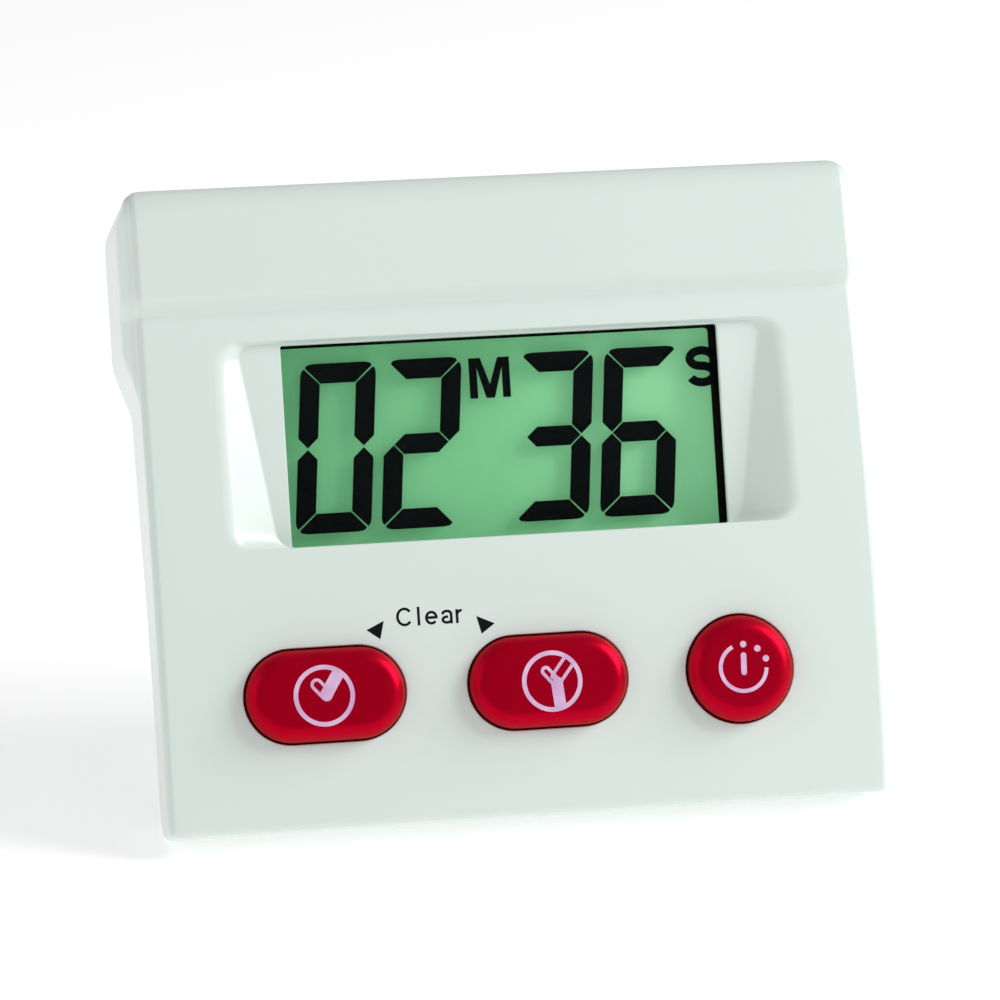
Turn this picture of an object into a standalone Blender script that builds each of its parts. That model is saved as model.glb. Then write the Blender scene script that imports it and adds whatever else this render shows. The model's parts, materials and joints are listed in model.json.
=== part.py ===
"""Countdown lab timer: a leaning case with a battery roll along its top, an LCD in a sloping
recess, three push buttons, a fold-out stand and a snap-off battery door.

Everything is modelled in the case's own axes (x across, y from front to back, z up the front
plate, all in millimetres) and hangs from the empty "case_axes", which leans the case back onto
its foot and its stand.
"""
from math import acos, atan, cos, pi, radians, sin, sqrt, tan

import bmesh
import bpy
from mathutils import Vector

MM = 0.001

# ---- driving dimensions (millimetres, degrees) ----
WIDTH = 70.0
HEIGHT = 62.8
LEAN = 22.0
WALL = 1.6
GAP = 0.3
THIN_GAP = 0.1

FRONT_BOW = 1.45
ROLL_BOTTOM = 50.2
ROLL_EDGE = 1.5
ROLL_PROUD = 1.3
ROLL_PROUD_TOP = 0.9
ROLL_FRONT_RADIUS = 3.2
ROLL_BACK_RADIUS = 6.0
THIN_DEPTH = 10.0
THICK_DEPTH = 15.8
BACK_CURVE_LOW = 12.0
BACK_CURVE_HIGH = 48.0
FOOT_FLARE = 1.0
FOOT_FLARE_HEIGHT = 9.0
FOOT_FLAT_START = 6.5
BOTTOM_WALL = 2.6
LID_TOP = 61.2
FRONT_HALF = 35.6
SIDE_DRAFT = 0.0375               # how much each side closes in per millimetre of depth

EAR_PROUD = 1.65
EAR_LOW = 41.9
EAR_FLAT = (46.8, 59.0)
EAR_FLAT_DEPTH = (3.2, 14.6)

WINDOW_HALF = 27.7
WINDOW_Z = (27.15, 47.3)
WINDOW_CORNER = 2.3
FLOOR_Z = (27.3, 47.1)
FLOOR_HALF_TOP = 25.9
FLOOR_HALF_BOTTOM = 22.9
FLOOR_DEPTH_AT_LOW = 1.38
FLOOR_DEPTH_AT_HIGH = 0.41
LCD_HALF = 21.6
LCD_Z = (27.4, 46.9)
LIP = 0.5

BUTTON_Z = 12.88
BUTTONS = {                       # name: (centre x, half width, half height)
    "minute": (-19.7, 7.85, 4.55),
    "second": (2.08, 7.85, 4.55),
    "start": (21.1, 5.3, 5.3),
}
BUTTON_TOP = -2.9
BUTTON_FILLET = 1.5
BUTTON_SLOT = 0.3
FLANGE = (1.3, 1.9)
STUB = (2.2, 3.9)
PILL = (4.2, 4.5)

BOARD = (5.6, 6.6)
BOARD_HALF = 26.5
BOARD_Z = (3.6, 48.6)

CELL_RADIUS = 5.25
CELL_LENGTH = 44.5
CELL_Y = 8.3
CELL_Z = 54.9
CELL_RIGHT = 25.1
RIB_X = (26.0, 27.2)
DOOR_HALF = 25.2
DOOR_Z = 49.6

PIVOT_Y = 13.2
PIVOT_Z = 36.0
LEG_LENGTH = 34.0
LEG_HALF_TOP = 15.2
LEG_HALF_FOOT = 12.0
LEG_THICKNESS = 2.2
PIN_RADIUS = 0.75
BARREL_RADIUS = 2.0

SCREW_SPOTS = ((-29.5, 7.0), (29.5, 7.0), (-29.5, 44.0), (29.5, 44.0))
BOARD_SCREW_SPOTS = ((-23.5, 22.3), (23.5, 22.3))
MAGNET_X = 24.5
MAGNET_Z = 33.5
MAGNET_RADIUS = 5.0
MAGNET_DEPTH = 1.6
BUZZER_X = -14.0
BUZZER_Z = 14.0


# ---- scene helpers ----
def clear_scene():
    for obj in list(bpy.data.objects):
        bpy.data.objects.remove(obj, do_unlink=True)


def material(name, colour, roughness, metallic=0.0):
    mat = bpy.data.materials.new(name)
    mat.use_nodes = True
    shader = mat.node_tree.nodes["Principled BSDF"]
    shader.inputs["Base Color"].default_value = (*colour, 1.0)
    shader.inputs["Roughness"].default_value = roughness
    shader.inputs["Metallic"].default_value = metallic
    mat.diffuse_color = (*colour, 1.0)
    return mat


def link(name, data, parent, location=(0, 0, 0)):
    obj = bpy.data.objects.new(name, data)
    bpy.context.scene.collection.objects.link(obj)
    obj.parent = parent
    obj.location = Vector(location) * MM
    return obj


def add(name, bm, mat, parent, location=(0, 0, 0)):
    """Turn a bmesh into a named object with outward faces and smooth round sides."""
    bmesh.ops.recalc_face_normals(bm, faces=bm.faces)
    mesh = bpy.data.meshes.new(name)
    bm.to_mesh(mesh)
    bm.free()
    if mat:
        mesh.materials.append(mat)
    mesh.shade_smooth()
    mesh.set_sharp_from_angle(angle=radians(30))
    return link(name, mesh, parent, location)


def combine(obj, other, operation):
    """Boolean other into obj and keep other only as a hidden guide."""
    mod = obj.modifiers.new(other.name, "BOOLEAN")
    mod.operation = operation
    mod.solver = "EXACT"
    mod.object = other
    other.hide_render = True
    other.display_type = "WIRE"


def cut(obj, cutter):
    combine(obj, cutter, "DIFFERENCE")


def join(obj, extra):
    combine(obj, extra, "UNION")


# ---- shape helpers, all in millimetres ----
def loft(loops):
    """Skin a stack of closed loops and cap both ends."""
    bm = bmesh.new()
    rings = [[bm.verts.new(Vector(point) * MM) for point in loop] for loop in loops]
    for low, high in zip(rings, rings[1:]):
        for i in range(len(low)):
            j = (i + 1) % len(low)
            bm.faces.new((low[i], low[j], high[j], high[i]))
    bm.faces.new(rings[0])
    bm.faces.new(rings[-1])
    return bm


def prism_x(outline_yz, x0, x1):
    return loft([[(x, y, z) for y, z in outline_yz] for x in (x0, x1)])


def prism_y(outline_xz, y0, y1):
    return loft([[(x, y, z) for x, z in outline_xz] for y in (y0, y1)])


def block(x, y, z):
    return prism_x([(y[0], z[0]), (y[1], z[0]), (y[1], z[1]), (y[0], z[1])], x[0], x[1])


def circle(radius, sides, cx=0.0, cz=0.0):
    turn = 2 * pi / sides
    return [(cx + radius * cos(turn * i), cz + radius * sin(turn * i)) for i in range(sides)]


def rounded_rect(half_x, z0, z1, corner, steps=5, cx=0.0):
    """Rectangle outline with round corners; a corner of half the height makes a stadium."""
    points = []
    centres = ((half_x - corner, z1 - corner, 0), (-half_x + corner, z1 - corner, 90),
               (-half_x + corner, z0 + corner, 180), (half_x - corner, z0 + corner, 270))
    for x, z, start in centres:
        for i in range(steps + 1):
            a = radians(start + 90 * i / steps)
            points.append((cx + x + corner * cos(a), z + corner * sin(a)))
    return points


def turned_y(profile, sides, cx=0.0, cz=0.0):
    """Round piece along y from (radius, y) pairs."""
    return loft([[(x, y, z) for x, z in circle(r, sides, cx, cz)] for r, y in profile])


def turned_x(profile, sides, cy=0.0, cz=0.0):
    """Round piece along x from (radius, x) pairs."""
    return loft([[(x, y, z) for y, z in circle(r, sides, cy, cz)] for r, x in profile])


def steps_between(start, end, count):
    return [start + (end - start) * i / count for i in range(count + 1)]


# ---- the case's side profile ----
def front_y(z, inset=0.0):
    """Depth of the front surface, or of the cavity's front at a given inset."""
    if z <= ROLL_BOTTOM:
        middle = ROLL_BOTTOM / 2
        return -FRONT_BOW * (1 - ((z - middle) / middle) ** 2) + inset
    if z <= ROLL_BOTTOM + ROLL_EDGE:
        t = (z - ROLL_BOTTOM) / ROLL_EDGE
        return -ROLL_PROUD * sqrt(1 - (1 - t) ** 2) + inset
    centre_z = HEIGHT - ROLL_FRONT_RADIUS
    if z <= centre_z:
        t = (z - ROLL_BOTTOM - ROLL_EDGE) / (centre_z - ROLL_BOTTOM - ROLL_EDGE)
        return -ROLL_PROUD + (ROLL_PROUD - ROLL_PROUD_TOP) * t + inset
    radius = ROLL_FRONT_RADIUS - inset
    rise = min(z - centre_z, radius)
    return ROLL_FRONT_RADIUS - ROLL_PROUD_TOP - sqrt(radius ** 2 - rise ** 2)


def back_y(z, inset=0.0):
    """Depth of the back surface: thin below, sweeping out to the battery roll."""
    centre_z = HEIGHT - ROLL_BACK_RADIUS
    if z > centre_z:
        radius = ROLL_BACK_RADIUS - inset
        rise = min(z - centre_z, radius)
        return THICK_DEPTH - ROLL_BACK_RADIUS + sqrt(radius ** 2 - rise ** 2)
    t = min(max((z - BACK_CURVE_LOW) / (BACK_CURVE_HIGH - BACK_CURVE_LOW), 0), 1)
    depth = THIN_DEPTH + (THICK_DEPTH - THIN_DEPTH) * t * t * (3 - 2 * t)
    if z < FOOT_FLARE_HEIGHT:
        depth += FOOT_FLARE * (1 - z / FOOT_FLARE_HEIGHT) ** 2
    return depth - inset


def back_slope(z):
    return (back_y(z + 0.1) - back_y(z - 0.1)) / 0.2


def front_heights(low, inset):
    heights = steps_between(low, ROLL_BOTTOM, 12)
    heights += [ROLL_BOTTOM + ROLL_EDGE * f for f in (0.05, 0.2, 0.5, 1.0)]
    radius = ROLL_FRONT_RADIUS - inset
    angles = [pi / 2 * i / 5 for i in range(6)]
    heights += [HEIGHT - ROLL_FRONT_RADIUS + radius * sin(a) for a in angles]
    return heights


def back_heights(low, inset):
    radius = ROLL_BACK_RADIUS - inset
    angles = [pi / 2 * i / 5 for i in range(5, -1, -1)]
    heights = [HEIGHT - ROLL_BACK_RADIUS + radius * sin(a) for a in angles]
    heights += steps_between(BACK_CURVE_HIGH, BACK_CURVE_LOW, 10)
    heights += steps_between(FOOT_FLARE_HEIGHT, low, 3)
    return heights


def outer_profile():
    flat_back = back_y(0) - 0.2
    flat_rise = (flat_back - FOOT_FLAT_START) * tan(radians(LEAN))
    corner = 0.7
    points = [(FOOT_FLAT_START, 0.0)]
    for i in range(4):
        a = radians(90 * i / 3)
        points.append((corner * (1 - sin(a)) + front_y(corner), corner * (1 - cos(a))))
    points += [(front_y(z), z) for z in front_heights(corner, 0.0)[1:]]
    points += [(back_y(z), z) for z in back_heights(flat_rise + 0.3, 0.0)]
    points.append((flat_back, flat_rise))
    return points


def cavity_profile(inset, low, high=None):
    """The case's profile moved inwards, between two heights."""
    front = [z for z in front_heights(low, inset) if high is None or z < high]
    back = [z for z in back_heights(low, inset) if high is None or z < high]
    if high is not None:
        front.append(high)
        back.insert(0, high)
    points = [(front_y(z, inset), z) for z in front]
    points += [(back_y(z, inset), z) for z in back]
    return points


def floor_y(z):
    """The window floor, tilted so that it is deeper at its lower edge."""
    t = (z - LCD_Z[0]) / (LCD_Z[1] - LCD_Z[0])
    return FLOOR_DEPTH_AT_LOW + (FLOOR_DEPTH_AT_HIGH - FLOOR_DEPTH_AT_LOW) * t


# ---- casings ----
def ear(side, parent):
    """Shallow bulge on one end of the battery roll."""
    outline = []
    for z in steps_between(EAR_LOW, HEIGHT - 0.3, 10):
        outline.append((front_y(z) + 0.1, z))
    for z in steps_between(HEIGHT - 0.3, EAR_LOW, 10):
        outline.append((back_y(z) - 0.1, z))
    half = WIDTH / 2
    raised = []
    for y, z in outline:
        t = (z - EAR_LOW) / (HEIGHT - 0.3 - EAR_LOW)
        u = (y - front_y(z)) / (back_y(z) - front_y(z))
        raised.append((EAR_FLAT_DEPTH[0] + (EAR_FLAT_DEPTH[1] - EAR_FLAT_DEPTH[0]) * u,
                       EAR_FLAT[0] + (EAR_FLAT[1] - EAR_FLAT[0]) * t))
    loops = [[(side * (half - 0.8), y, z) for y, z in outline],
             [(side * half, y, z) for y, z in outline],
             [(side * (half + EAR_PROUD), y, z) for y, z in raised]]
    return add("guide_ear_%d" % (side + 1), loft(loops), None, parent)


def window_cutter(parent):
    """Recess with gently sloping side walls, from the bowed front down to its tilted floor."""
    rim = rounded_rect(WINDOW_HALF, *WINDOW_Z, WINDOW_CORNER)
    floor = []
    for x, z in rounded_rect(1.0, *FLOOR_Z, 0.9):
        t = (z - FLOOR_Z[0]) / (FLOOR_Z[1] - FLOOR_Z[0])
        half = FLOOR_HALF_BOTTOM + (FLOOR_HALF_TOP - FLOOR_HALF_BOTTOM) * t
        corner = 1.6 * (x - (0.1 if x > 0 else -0.1))
        floor.append(((half - 1.6) * (1 if x > 0 else -1) + corner, z))
    loops = [[(x, -5.0, z) for x, z in rim],
             [(x, front_y(z) - 0.01, z) for x, z in rim],
             [(x, floor_y(z), z) for x, z in floor]]
    return add("guide_window", loft(loops), None, parent)


def button_outline(name, grow):
    cx, half_x, half_z = BUTTONS[name]
    return rounded_rect(half_x + grow, BUTTON_Z - half_z - grow, BUTTON_Z + half_z + grow,
                        half_z + grow, 6 if half_x > half_z else 9, cx)


def drafted_case():
    """The outer solid, whose sides close in a little towards the back as a moulding's do."""
    solid = prism_x(outer_profile(), -FRONT_HALF, FRONT_HALF)
    for vert in solid.verts:
        closing = SIDE_DRAFT * (vert.co.y / MM + FRONT_BOW)
        vert.co.x *= (FRONT_HALF - closing) / FRONT_HALF
    return solid


def make_front_casing(parent, mat):
    half = WIDTH / 2
    casing = add("front_casing", drafted_case(), mat, parent)
    cavity = cavity_profile(WALL, BOTTOM_WALL)
    cut(casing, add("guide_cavity", prism_x(cavity, WALL - half, half - WALL), None, parent))
    opening = block((WALL - half, half - WALL), (8.0, 20.0), (BOTTOM_WALL, LID_TOP))
    cut(casing, add("guide_back_opening", opening, None, parent))
    for side in (-1, 1):
        join(casing, ear(side, parent))
    rear = LIP + 0.3
    frame = [(0.0, 23.6), (floor_y(23.6) + rear, 23.6), (floor_y(49.4) + rear, 49.4), (0.0, 49.4)]
    join(casing, add("guide_window_frame", prism_x(frame, -29.6, 29.6), None, parent))
    for side in (-1, 1):
        rib = [(0.0, 49.2), (13.6, 49.2)]
        for a in steps_between(0, 80, 4):
            reach = ROLL_BACK_RADIUS - WALL - GAP - 0.2
            rib.append((THICK_DEPTH - ROLL_BACK_RADIUS + reach * cos(radians(a)),
                        HEIGHT - ROLL_BACK_RADIUS + reach * sin(radians(a))))
        rib += [(10.0, 61.8), (5.0, 61.8), (0.0, 57.0)]
        solid = prism_x(rib, side * RIB_X[0], side * RIB_X[1])
        join(casing, add("guide_rib_%d" % (side + 1), solid, None, parent))
    for i, (x, z) in enumerate(SCREW_SPOTS):
        end = back_y(z, WALL) - 0.6
        boss = turned_y([(2.5, -0.3), (2.5, end)], 16, x, z)
        join(casing, add("guide_boss_%d" % i, boss, None, parent))
    for i, (x, z) in enumerate(BOARD_SCREW_SPOTS):
        boss = turned_y([(1.5, -0.3), (1.5, BOARD[0] - GAP)], 12, x, z)
        join(casing, add("guide_board_boss_%d" % i, boss, None, parent))
    for i, (x, z) in enumerate(SCREW_SPOTS):
        pilot = turned_y([(1.1, 1.6), (1.1, 20.0)], 12, x, z)
        cut(casing, add("guide_pilot_%d" % i, pilot, None, parent))
    for i, (x, z) in enumerate(BOARD_SCREW_SPOTS):
        pilot = turned_y([(0.9, 1.4), (0.9, 7.0)], 10, x, z)
        cut(casing, add("guide_board_pilot_%d" % i, pilot, None, parent))
    well = [(floor_y(24.4) + LIP, 24.4), (6.0, 24.4), (6.0, 48.7), (floor_y(48.7) + LIP, 48.7)]
    cut(casing, add("guide_lcd_seat", prism_x(well, -25.3, 25.3), None, parent))
    cut(casing, window_cutter(parent))
    lcd = block((-LCD_HALF, LCD_HALF), (-3.0, 4.0), LCD_Z)
    cut(casing, add("guide_lcd_opening", lcd, None, parent))
    for name in BUTTONS:
        hole = prism_y(button_outline(name, BUTTON_SLOT), -6.0, 3.0)
        cut(casing, add("guide_hole_" + name, hole, None, parent))


def back_plate(name, half, z_low, z_high, inset, mat, parent):
    """Slice of the case's back wall, as a curved plate."""
    plate = add(name, prism_x(outer_profile(), -half, half), mat, parent)
    inner = cavity_profile(inset, 0.5)
    cut(plate, add("guide_inner_" + name, prism_x(inner, -half - 2, half + 2), None, parent))
    for label, y, z in (("low", (-5, 30), (-5, z_low)), ("high", (-5, 30), (z_high, 70)),
                        ("front", (-5, 8.2), (-5, 70))):
        trim = block((-half - 3, half + 3), y, z)
        cut(plate, add("guide_%s_%s" % (label, name), trim, None, parent))
    return plate


def make_back_casing(parent, mat):
    half = WIDTH / 2 - WALL - GAP
    casing = back_plate("back_casing", half, BOTTOM_WALL + GAP, LID_TOP - GAP, WALL, mat, parent)
    outline = [(9.6, 28.5)] + [(back_y(z, 0.5), z) for z in (28.5, 32.0, 36.0, 40.0)]
    outline.append((9.6, 40.0))
    pivot_block = prism_x(outline, -19.5, 19.5)
    join(casing, add("guide_pivot_block", pivot_block, None, parent))
    ring = turned_y([(9.1, 7.2), (9.1, 9.4)], 28, BUZZER_X, BUZZER_Z)
    join(casing, add("guide_buzzer_ring", ring, None, parent))
    seat = turned_y([(8.3, 6.0), (8.3, back_y(BUZZER_Z) - WALL)], 28, BUZZER_X, BUZZER_Z)
    cut(casing, add("guide_buzzer_seat", seat, None, parent))
    tilt = -atan(back_slope(MAGNET_Z))
    for side in (-1, 1):
        spot = (side * MAGNET_X, back_y(MAGNET_Z), MAGNET_Z)
        cup = add("guide_cup_%d" % (side + 1), turned_y([(6.1, -3.4), (6.1, -0.8)], 24), None,
                  parent, spot)
        cup.rotation_euler.x = tilt
        join(casing, cup)
    for side in (-1, 1):
        spot = (side * MAGNET_X, back_y(MAGNET_Z), MAGNET_Z)
        pocket = turned_y([(MAGNET_RADIUS + GAP, -MAGNET_DEPTH - GAP), (MAGNET_RADIUS + GAP, 3)], 24)
        seat = add("guide_magnet_seat_%d" % (side + 1), pocket, None, parent, spot)
        seat.rotation_euler.x = tilt
        cut(casing, seat)
    hollow = block((-LEG_HALF_TOP - GAP, LEG_HALF_TOP + GAP), (10.9, 22), (33.3, 38.9))
    cut(casing, add("guide_pivot_hollow", hollow, None, parent))
    channel = block((-LEG_HALF_TOP - GAP, LEG_HALF_TOP + GAP), (11.7, 22), (24.0, 33.6))
    cut(casing, add("guide_leg_channel", channel, None, parent))
    pin_hole = turned_x([(PIN_RADIUS + GAP, -18.3), (PIN_RADIUS + GAP, 18.3)], 16, PIVOT_Y, PIVOT_Z)
    cut(casing, add("guide_pin_hole", pin_hole, None, parent))
    doorway = block((-DOOR_HALF - GAP, DOOR_HALF + GAP), (7.0, 22), (DOOR_Z - GAP, 66))
    cut(casing, add("guide_doorway", doorway, None, parent))
    for i, (x, z) in enumerate(SCREW_SPOTS):
        surface = back_y(z)
        bore = turned_y([(1.2, 5.0), (1.2, surface - 1.0), (2.5, surface - 1.0001), (2.5, 20.0)],
                        16, x, z)
        cut(casing, add("guide_screw_bore_%d" % i, bore, None, parent))
    for i in range(3):
        hole = turned_y([(0.6, 8.0), (0.6, 12.0)], 10, BUZZER_X + 3.0 * (i - 1), BUZZER_Z)
        cut(casing, add("guide_sound_hole_%d" % i, hole, None, parent))


def make_battery_door(parent, mat):
    door = back_plate("battery_door", DOOR_HALF, DOOR_Z, LID_TOP - GAP, WALL - 0.1, mat, parent)
    grip = block((-7, 7), (THICK_DEPTH - 0.5, 20), (51.2, 52.2))
    cut(door, add("guide_door_grip", grip, None, parent))


# ---- buttons ----
def make_button(name, parent, cap_mat, rubber, carbon):
    cx, half_x, half_z = BUTTONS[name]
    axis = link(name + "_button_axis", None, parent, (cx, 0, BUTTON_Z))
    shift = -cx

    def ring(grow, y):
        return [(x + shift, y, z - BUTTON_Z) for x, z in button_outline(name, grow)]

    loops = [ring(0.9, FLANGE[1]), ring(0.9, FLANGE[0]), ring(0.0, FLANGE[0] - 0.001)]
    for i in range(6):
        a = radians(90 * i / 5)
        loops.append(ring(-BUTTON_FILLET * (1 - cos(a)),
                          BUTTON_TOP + BUTTON_FILLET * (1 - sin(a))))
    loops.append(ring(-BUTTON_FILLET - 1.0, BUTTON_TOP - 0.06))
    add(name + "_button", loft(loops), cap_mat, axis)
    stub = turned_y([(3.0, STUB[0]), (2.4, STUB[1])], 20)
    add(name + "_key_stub", stub, rubber, axis)
    add(name + "_contact_pill", turned_y([(2.0, PILL[0]), (2.0, PILL[1])], 16), carbon, axis)


# ---- display ----
def display_layer(name, front, depth, half, z, mat, parent):
    """One flat layer of the display, parallel to the window floor."""
    outline = [(floor_y(z[0]) + front, z[0]), (floor_y(z[0]) + front + depth, z[0]),
               (floor_y(z[1]) + front + depth, z[1]), (floor_y(z[1]) + front, z[1])]
    add(name, prism_x(outline, -half, half), mat, parent)


def make_display(parent, mats):
    front = LIP + GAP
    for name, depth, z, mat in (
            ("lcd_front_polarizer", 0.25, (26.6, 47.9), mats["lcd"]),
            ("lcd_front_glass", 0.9, (24.7, 48.4), mats["glass"]),
            ("lcd_rear_glass", 0.9, (27.2, 48.4), mats["glass"]),
            ("lcd_reflector", 0.25, (27.4, 48.2), mats["reflector"])):
        display_layer(name, front, depth, 25.0, z, mat, parent)
        front += depth + THIN_GAP
    holder = add("lcd_holder", block((-26.6, 26.6), (2.5, 5.3), (24.0, 49.0)), mats["inner"], parent)
    well = block((-25.3, 25.3), (0.0, 7.0), (24.4, 48.7))
    cut(holder, add("guide_lcd_well", well, None, parent))
    zebra = block((-22.0, 22.0), (floor_y(24.9) + 2.25, BOARD[0] - THIN_GAP), (24.8, 26.7))
    add("zebra_connector", zebra, mats["rubber"], parent)


# ---- electronics ----
def make_board(parent, mats):
    board = add("circuit_board", block((-BOARD_HALF, BOARD_HALF), BOARD, BOARD_Z), mats["board"],
                parent)
    for i, (x, z) in enumerate(BOARD_SCREW_SPOTS):
        hole = turned_y([(1.2, 4.0), (1.2, 8.0)], 12, x, z)
        cut(board, add("guide_board_hole_%d" % i, hole, None, parent))
    mat_sheet = add("keypad_mat", block((-26.2, 26.2), (4.6, BOARD[0] - THIN_GAP), (5.0, 20.4)),
                    mats["rubber"], parent)
    for name, (cx, _, _) in BUTTONS.items():
        hole = turned_y([(3.6, 3.0), (3.6, 7.0)], 20, cx, BUTTON_Z)
        cut(mat_sheet, add("guide_mat_hole_" + name, hole, None, parent))
    behind = BOARD[1] + THIN_GAP
    dome = [(4.0 * cos(radians(a)), behind + 1.3 * sin(radians(a))) for a in (0, 20, 40, 60, 78)]
    add("chip_blob", turned_y(dome, 20, 14.0, 30.0), mats["epoxy"], parent)
    crystal = turned_x([(0.7, -1.0), (1.0, -0.8), (1.0, 4.8), (0.7, 5.0)], 12, behind + 1.0, 21.0)
    add("quartz_crystal", crystal, mats["steel"], parent)
    for i in range(2):
        x = 19.0 + 3.0 * i
        chip = block((x, x + 1.0), (behind, behind + 0.8), (18.0, 19.8))
        add("capacitor_%d" % (i + 1), chip, mats["ceramic"], parent)
    disc = turned_y([(8.0, 7.95), (8.0, 8.15)], 32, BUZZER_X, BUZZER_Z)
    add("buzzer_disc", disc, mats["brass"], parent)
    crystal_disc = turned_y([(5.6, 7.6), (5.6, 7.85)], 28, BUZZER_X, BUZZER_Z)
    add("buzzer_ceramic", crystal_disc, mats["ceramic"], parent)


def wire(name, points, radius, mat, parent):
    """Round wire through a few points, as a smooth tube with closed ends."""
    curve = bpy.data.curves.new(name, "CURVE")
    curve.dimensions = "3D"
    curve.bevel_depth = radius * MM
    curve.bevel_resolution = 2
    curve.use_fill_caps = True
    spline = curve.splines.new("POLY")
    spline.points.add(len(points) - 1)
    for slot, point in zip(spline.points, points):
        slot.co = (*(Vector(point) * MM), 1.0)
    curve.materials.append(mat)
    link(name, curve, parent)


def bent(start, middle, end, count=10):
    """Points of one smooth bend from start to end, pulled towards middle."""
    a, b, c = Vector(start), Vector(middle), Vector(end)
    return [a * (1 - t) ** 2 + b * 2 * t * (1 - t) + c * t ** 2
            for t in steps_between(0.0, 1.0, count)]


def make_battery(parent, mats):
    left = CELL_RIGHT - CELL_LENGTH
    nub = CELL_RIGHT - 0.9
    cell = turned_x([(4.9, left), (CELL_RADIUS, left + 0.4), (CELL_RADIUS, nub - 0.4), (4.9, nub),
                     (1.9, nub + 0.001), (1.8, CELL_RIGHT)], 28, CELL_Y, CELL_Z)
    add("battery_cell", cell, mats["cell"], parent)
    for name, x in (("positive_contact", (25.4, 25.75)), ("negative_contact", (-25.75, -25.4))):
        add(name, block(x, (CELL_Y - 4, CELL_Y + 4), (51.0, 58.9)), mats["steel"], parent)
    turns = 3.5
    start_x = -25.4 + GAP + 0.35
    end_x = left - GAP - 0.35
    coil = []
    count = 56
    for i in range(count + 1):
        t = i / count
        radius = 3.4 - 1.2 * t
        a = 2 * pi * turns * t
        coil.append((start_x + (end_x - start_x) * t, CELL_Y + radius * cos(a),
                     CELL_Z + radius * sin(a)))
    wire("battery_spring", coil, 0.3, mats["steel"], parent)
    on_board = BOARD[1] + GAP + 0.4
    wire("positive_wire", bent((25.4, CELL_Y, 50.3), (25.2, CELL_Y + 1.0, 46.5),
                               (23.0, on_board, 44.0)), 0.4, mats["red_wire"], parent)
    wire("negative_wire", bent((-25.4, CELL_Y, 50.3), (-25.2, CELL_Y + 1.0, 46.5),
                               (-23.0, on_board, 44.0)), 0.4, mats["black_wire"], parent)


def make_screw(name, x, y_head, head_radius, head_depth, shank_radius, length, z, mat, parent):
    """Round-headed screw entering from behind; its head's outer face is at y_head."""
    profile = [(shank_radius * 0.6, y_head - length), (shank_radius, y_head - length + 0.6),
               (shank_radius, y_head - head_depth), (head_radius, y_head - head_depth + 0.001),
               (head_radius, y_head - 0.25), (head_radius - 0.3, y_head)]
    screw = add(name, turned_y(profile, 16, x, z), mat, parent)
    for i, (wide, tall) in enumerate(((head_radius * 1.2, 0.5), (0.5, head_radius * 1.2))):
        slot = block((x - wide / 2, x + wide / 2), (y_head - head_depth * 0.55, y_head + 1),
                     (z - tall / 2, z + tall / 2))
        cut(screw, add("guide_slot_%d_%s" % (i, name), slot, None, parent))


def make_fasteners(parent, mats):
    for i, (x, z) in enumerate(SCREW_SPOTS):
        make_screw("case_screw_%d" % (i + 1), x, back_y(z) - 0.1, 2.15, 0.6, 0.8, 7.5, z,
                   mats["screw"], parent)
    for i, (x, z) in enumerate(BOARD_SCREW_SPOTS):
        make_screw("board_screw_%d" % (i + 1), x, BOARD[1] + THIN_GAP + 0.8, 1.6, 0.8, 0.6, 4.6, z,
                   mats["screw"], parent)
    tilt = -atan(back_slope(MAGNET_Z))
    for side, name in ((-1, "magnet_left"), (1, "magnet_right")):
        profile = [(MAGNET_RADIUS - 0.2, -MAGNET_DEPTH), (MAGNET_RADIUS, -MAGNET_DEPTH + 0.2),
                   (MAGNET_RADIUS, -0.2), (MAGNET_RADIUS - 0.2, 0.0)]
        magnet = add(name, turned_y(profile, 28), mats["magnet"], parent,
                     (side * MAGNET_X, back_y(MAGNET_Z), MAGNET_Z))
        magnet.rotation_euler.x = tilt


# ---- stand ----
def pivot_height():
    """Height of the stand's pivot above the resting surface."""
    lean = radians(LEAN)
    return (FOOT_FLAT_START - PIVOT_Y) * sin(lean) + PIVOT_Z * cos(lean)


def make_stand(parent, mat, steel):
    swing_from_vertical = acos(pivot_height() / LEG_LENGTH)
    axis = link("stand_axis", None, parent, (0, PIVOT_Y, PIVOT_Z))
    axis.rotation_euler.x = swing_from_vertical + radians(LEAN)
    loops = []
    for y in (-LEG_THICKNESS / 2, LEG_THICKNESS / 2):
        end = -(pivot_height() + y * sin(swing_from_vertical)) / cos(swing_from_vertical)
        outline = [(-LEG_HALF_TOP, -0.6), (-LEG_HALF_TOP, -12.0)]
        outline += [(-LEG_HALF_FOOT, end + 2.0), (-LEG_HALF_FOOT + 0.6, end + 0.6),
                    (-LEG_HALF_FOOT + 2.0, end), (LEG_HALF_FOOT - 2.0, end),
                    (LEG_HALF_FOOT - 0.6, end + 0.6), (LEG_HALF_FOOT, end + 2.0)]
        outline += [(LEG_HALF_TOP, -12.0), (LEG_HALF_TOP, -0.6)]
        loops.append([(x, y, z) for x, z in outline])
    leg = add("stand_leg", loft(loops), mat, axis)
    barrel = turned_x([(BARREL_RADIUS, -LEG_HALF_TOP), (BARREL_RADIUS, LEG_HALF_TOP)], 20)
    join(leg, add("guide_barrel", barrel, None, axis))
    hole = turned_x([(PIN_RADIUS + GAP, -20), (PIN_RADIUS + GAP, 20)], 16)
    cut(leg, add("guide_leg_hole", hole, None, axis))
    pin = turned_x([(PIN_RADIUS - 0.15, -18.0), (PIN_RADIUS, -17.8), (PIN_RADIUS, 17.8),
                    (PIN_RADIUS - 0.15, 18.0)], 16, PIVOT_Y, PIVOT_Z)
    add("stand_pin", pin, steel, parent)


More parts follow.
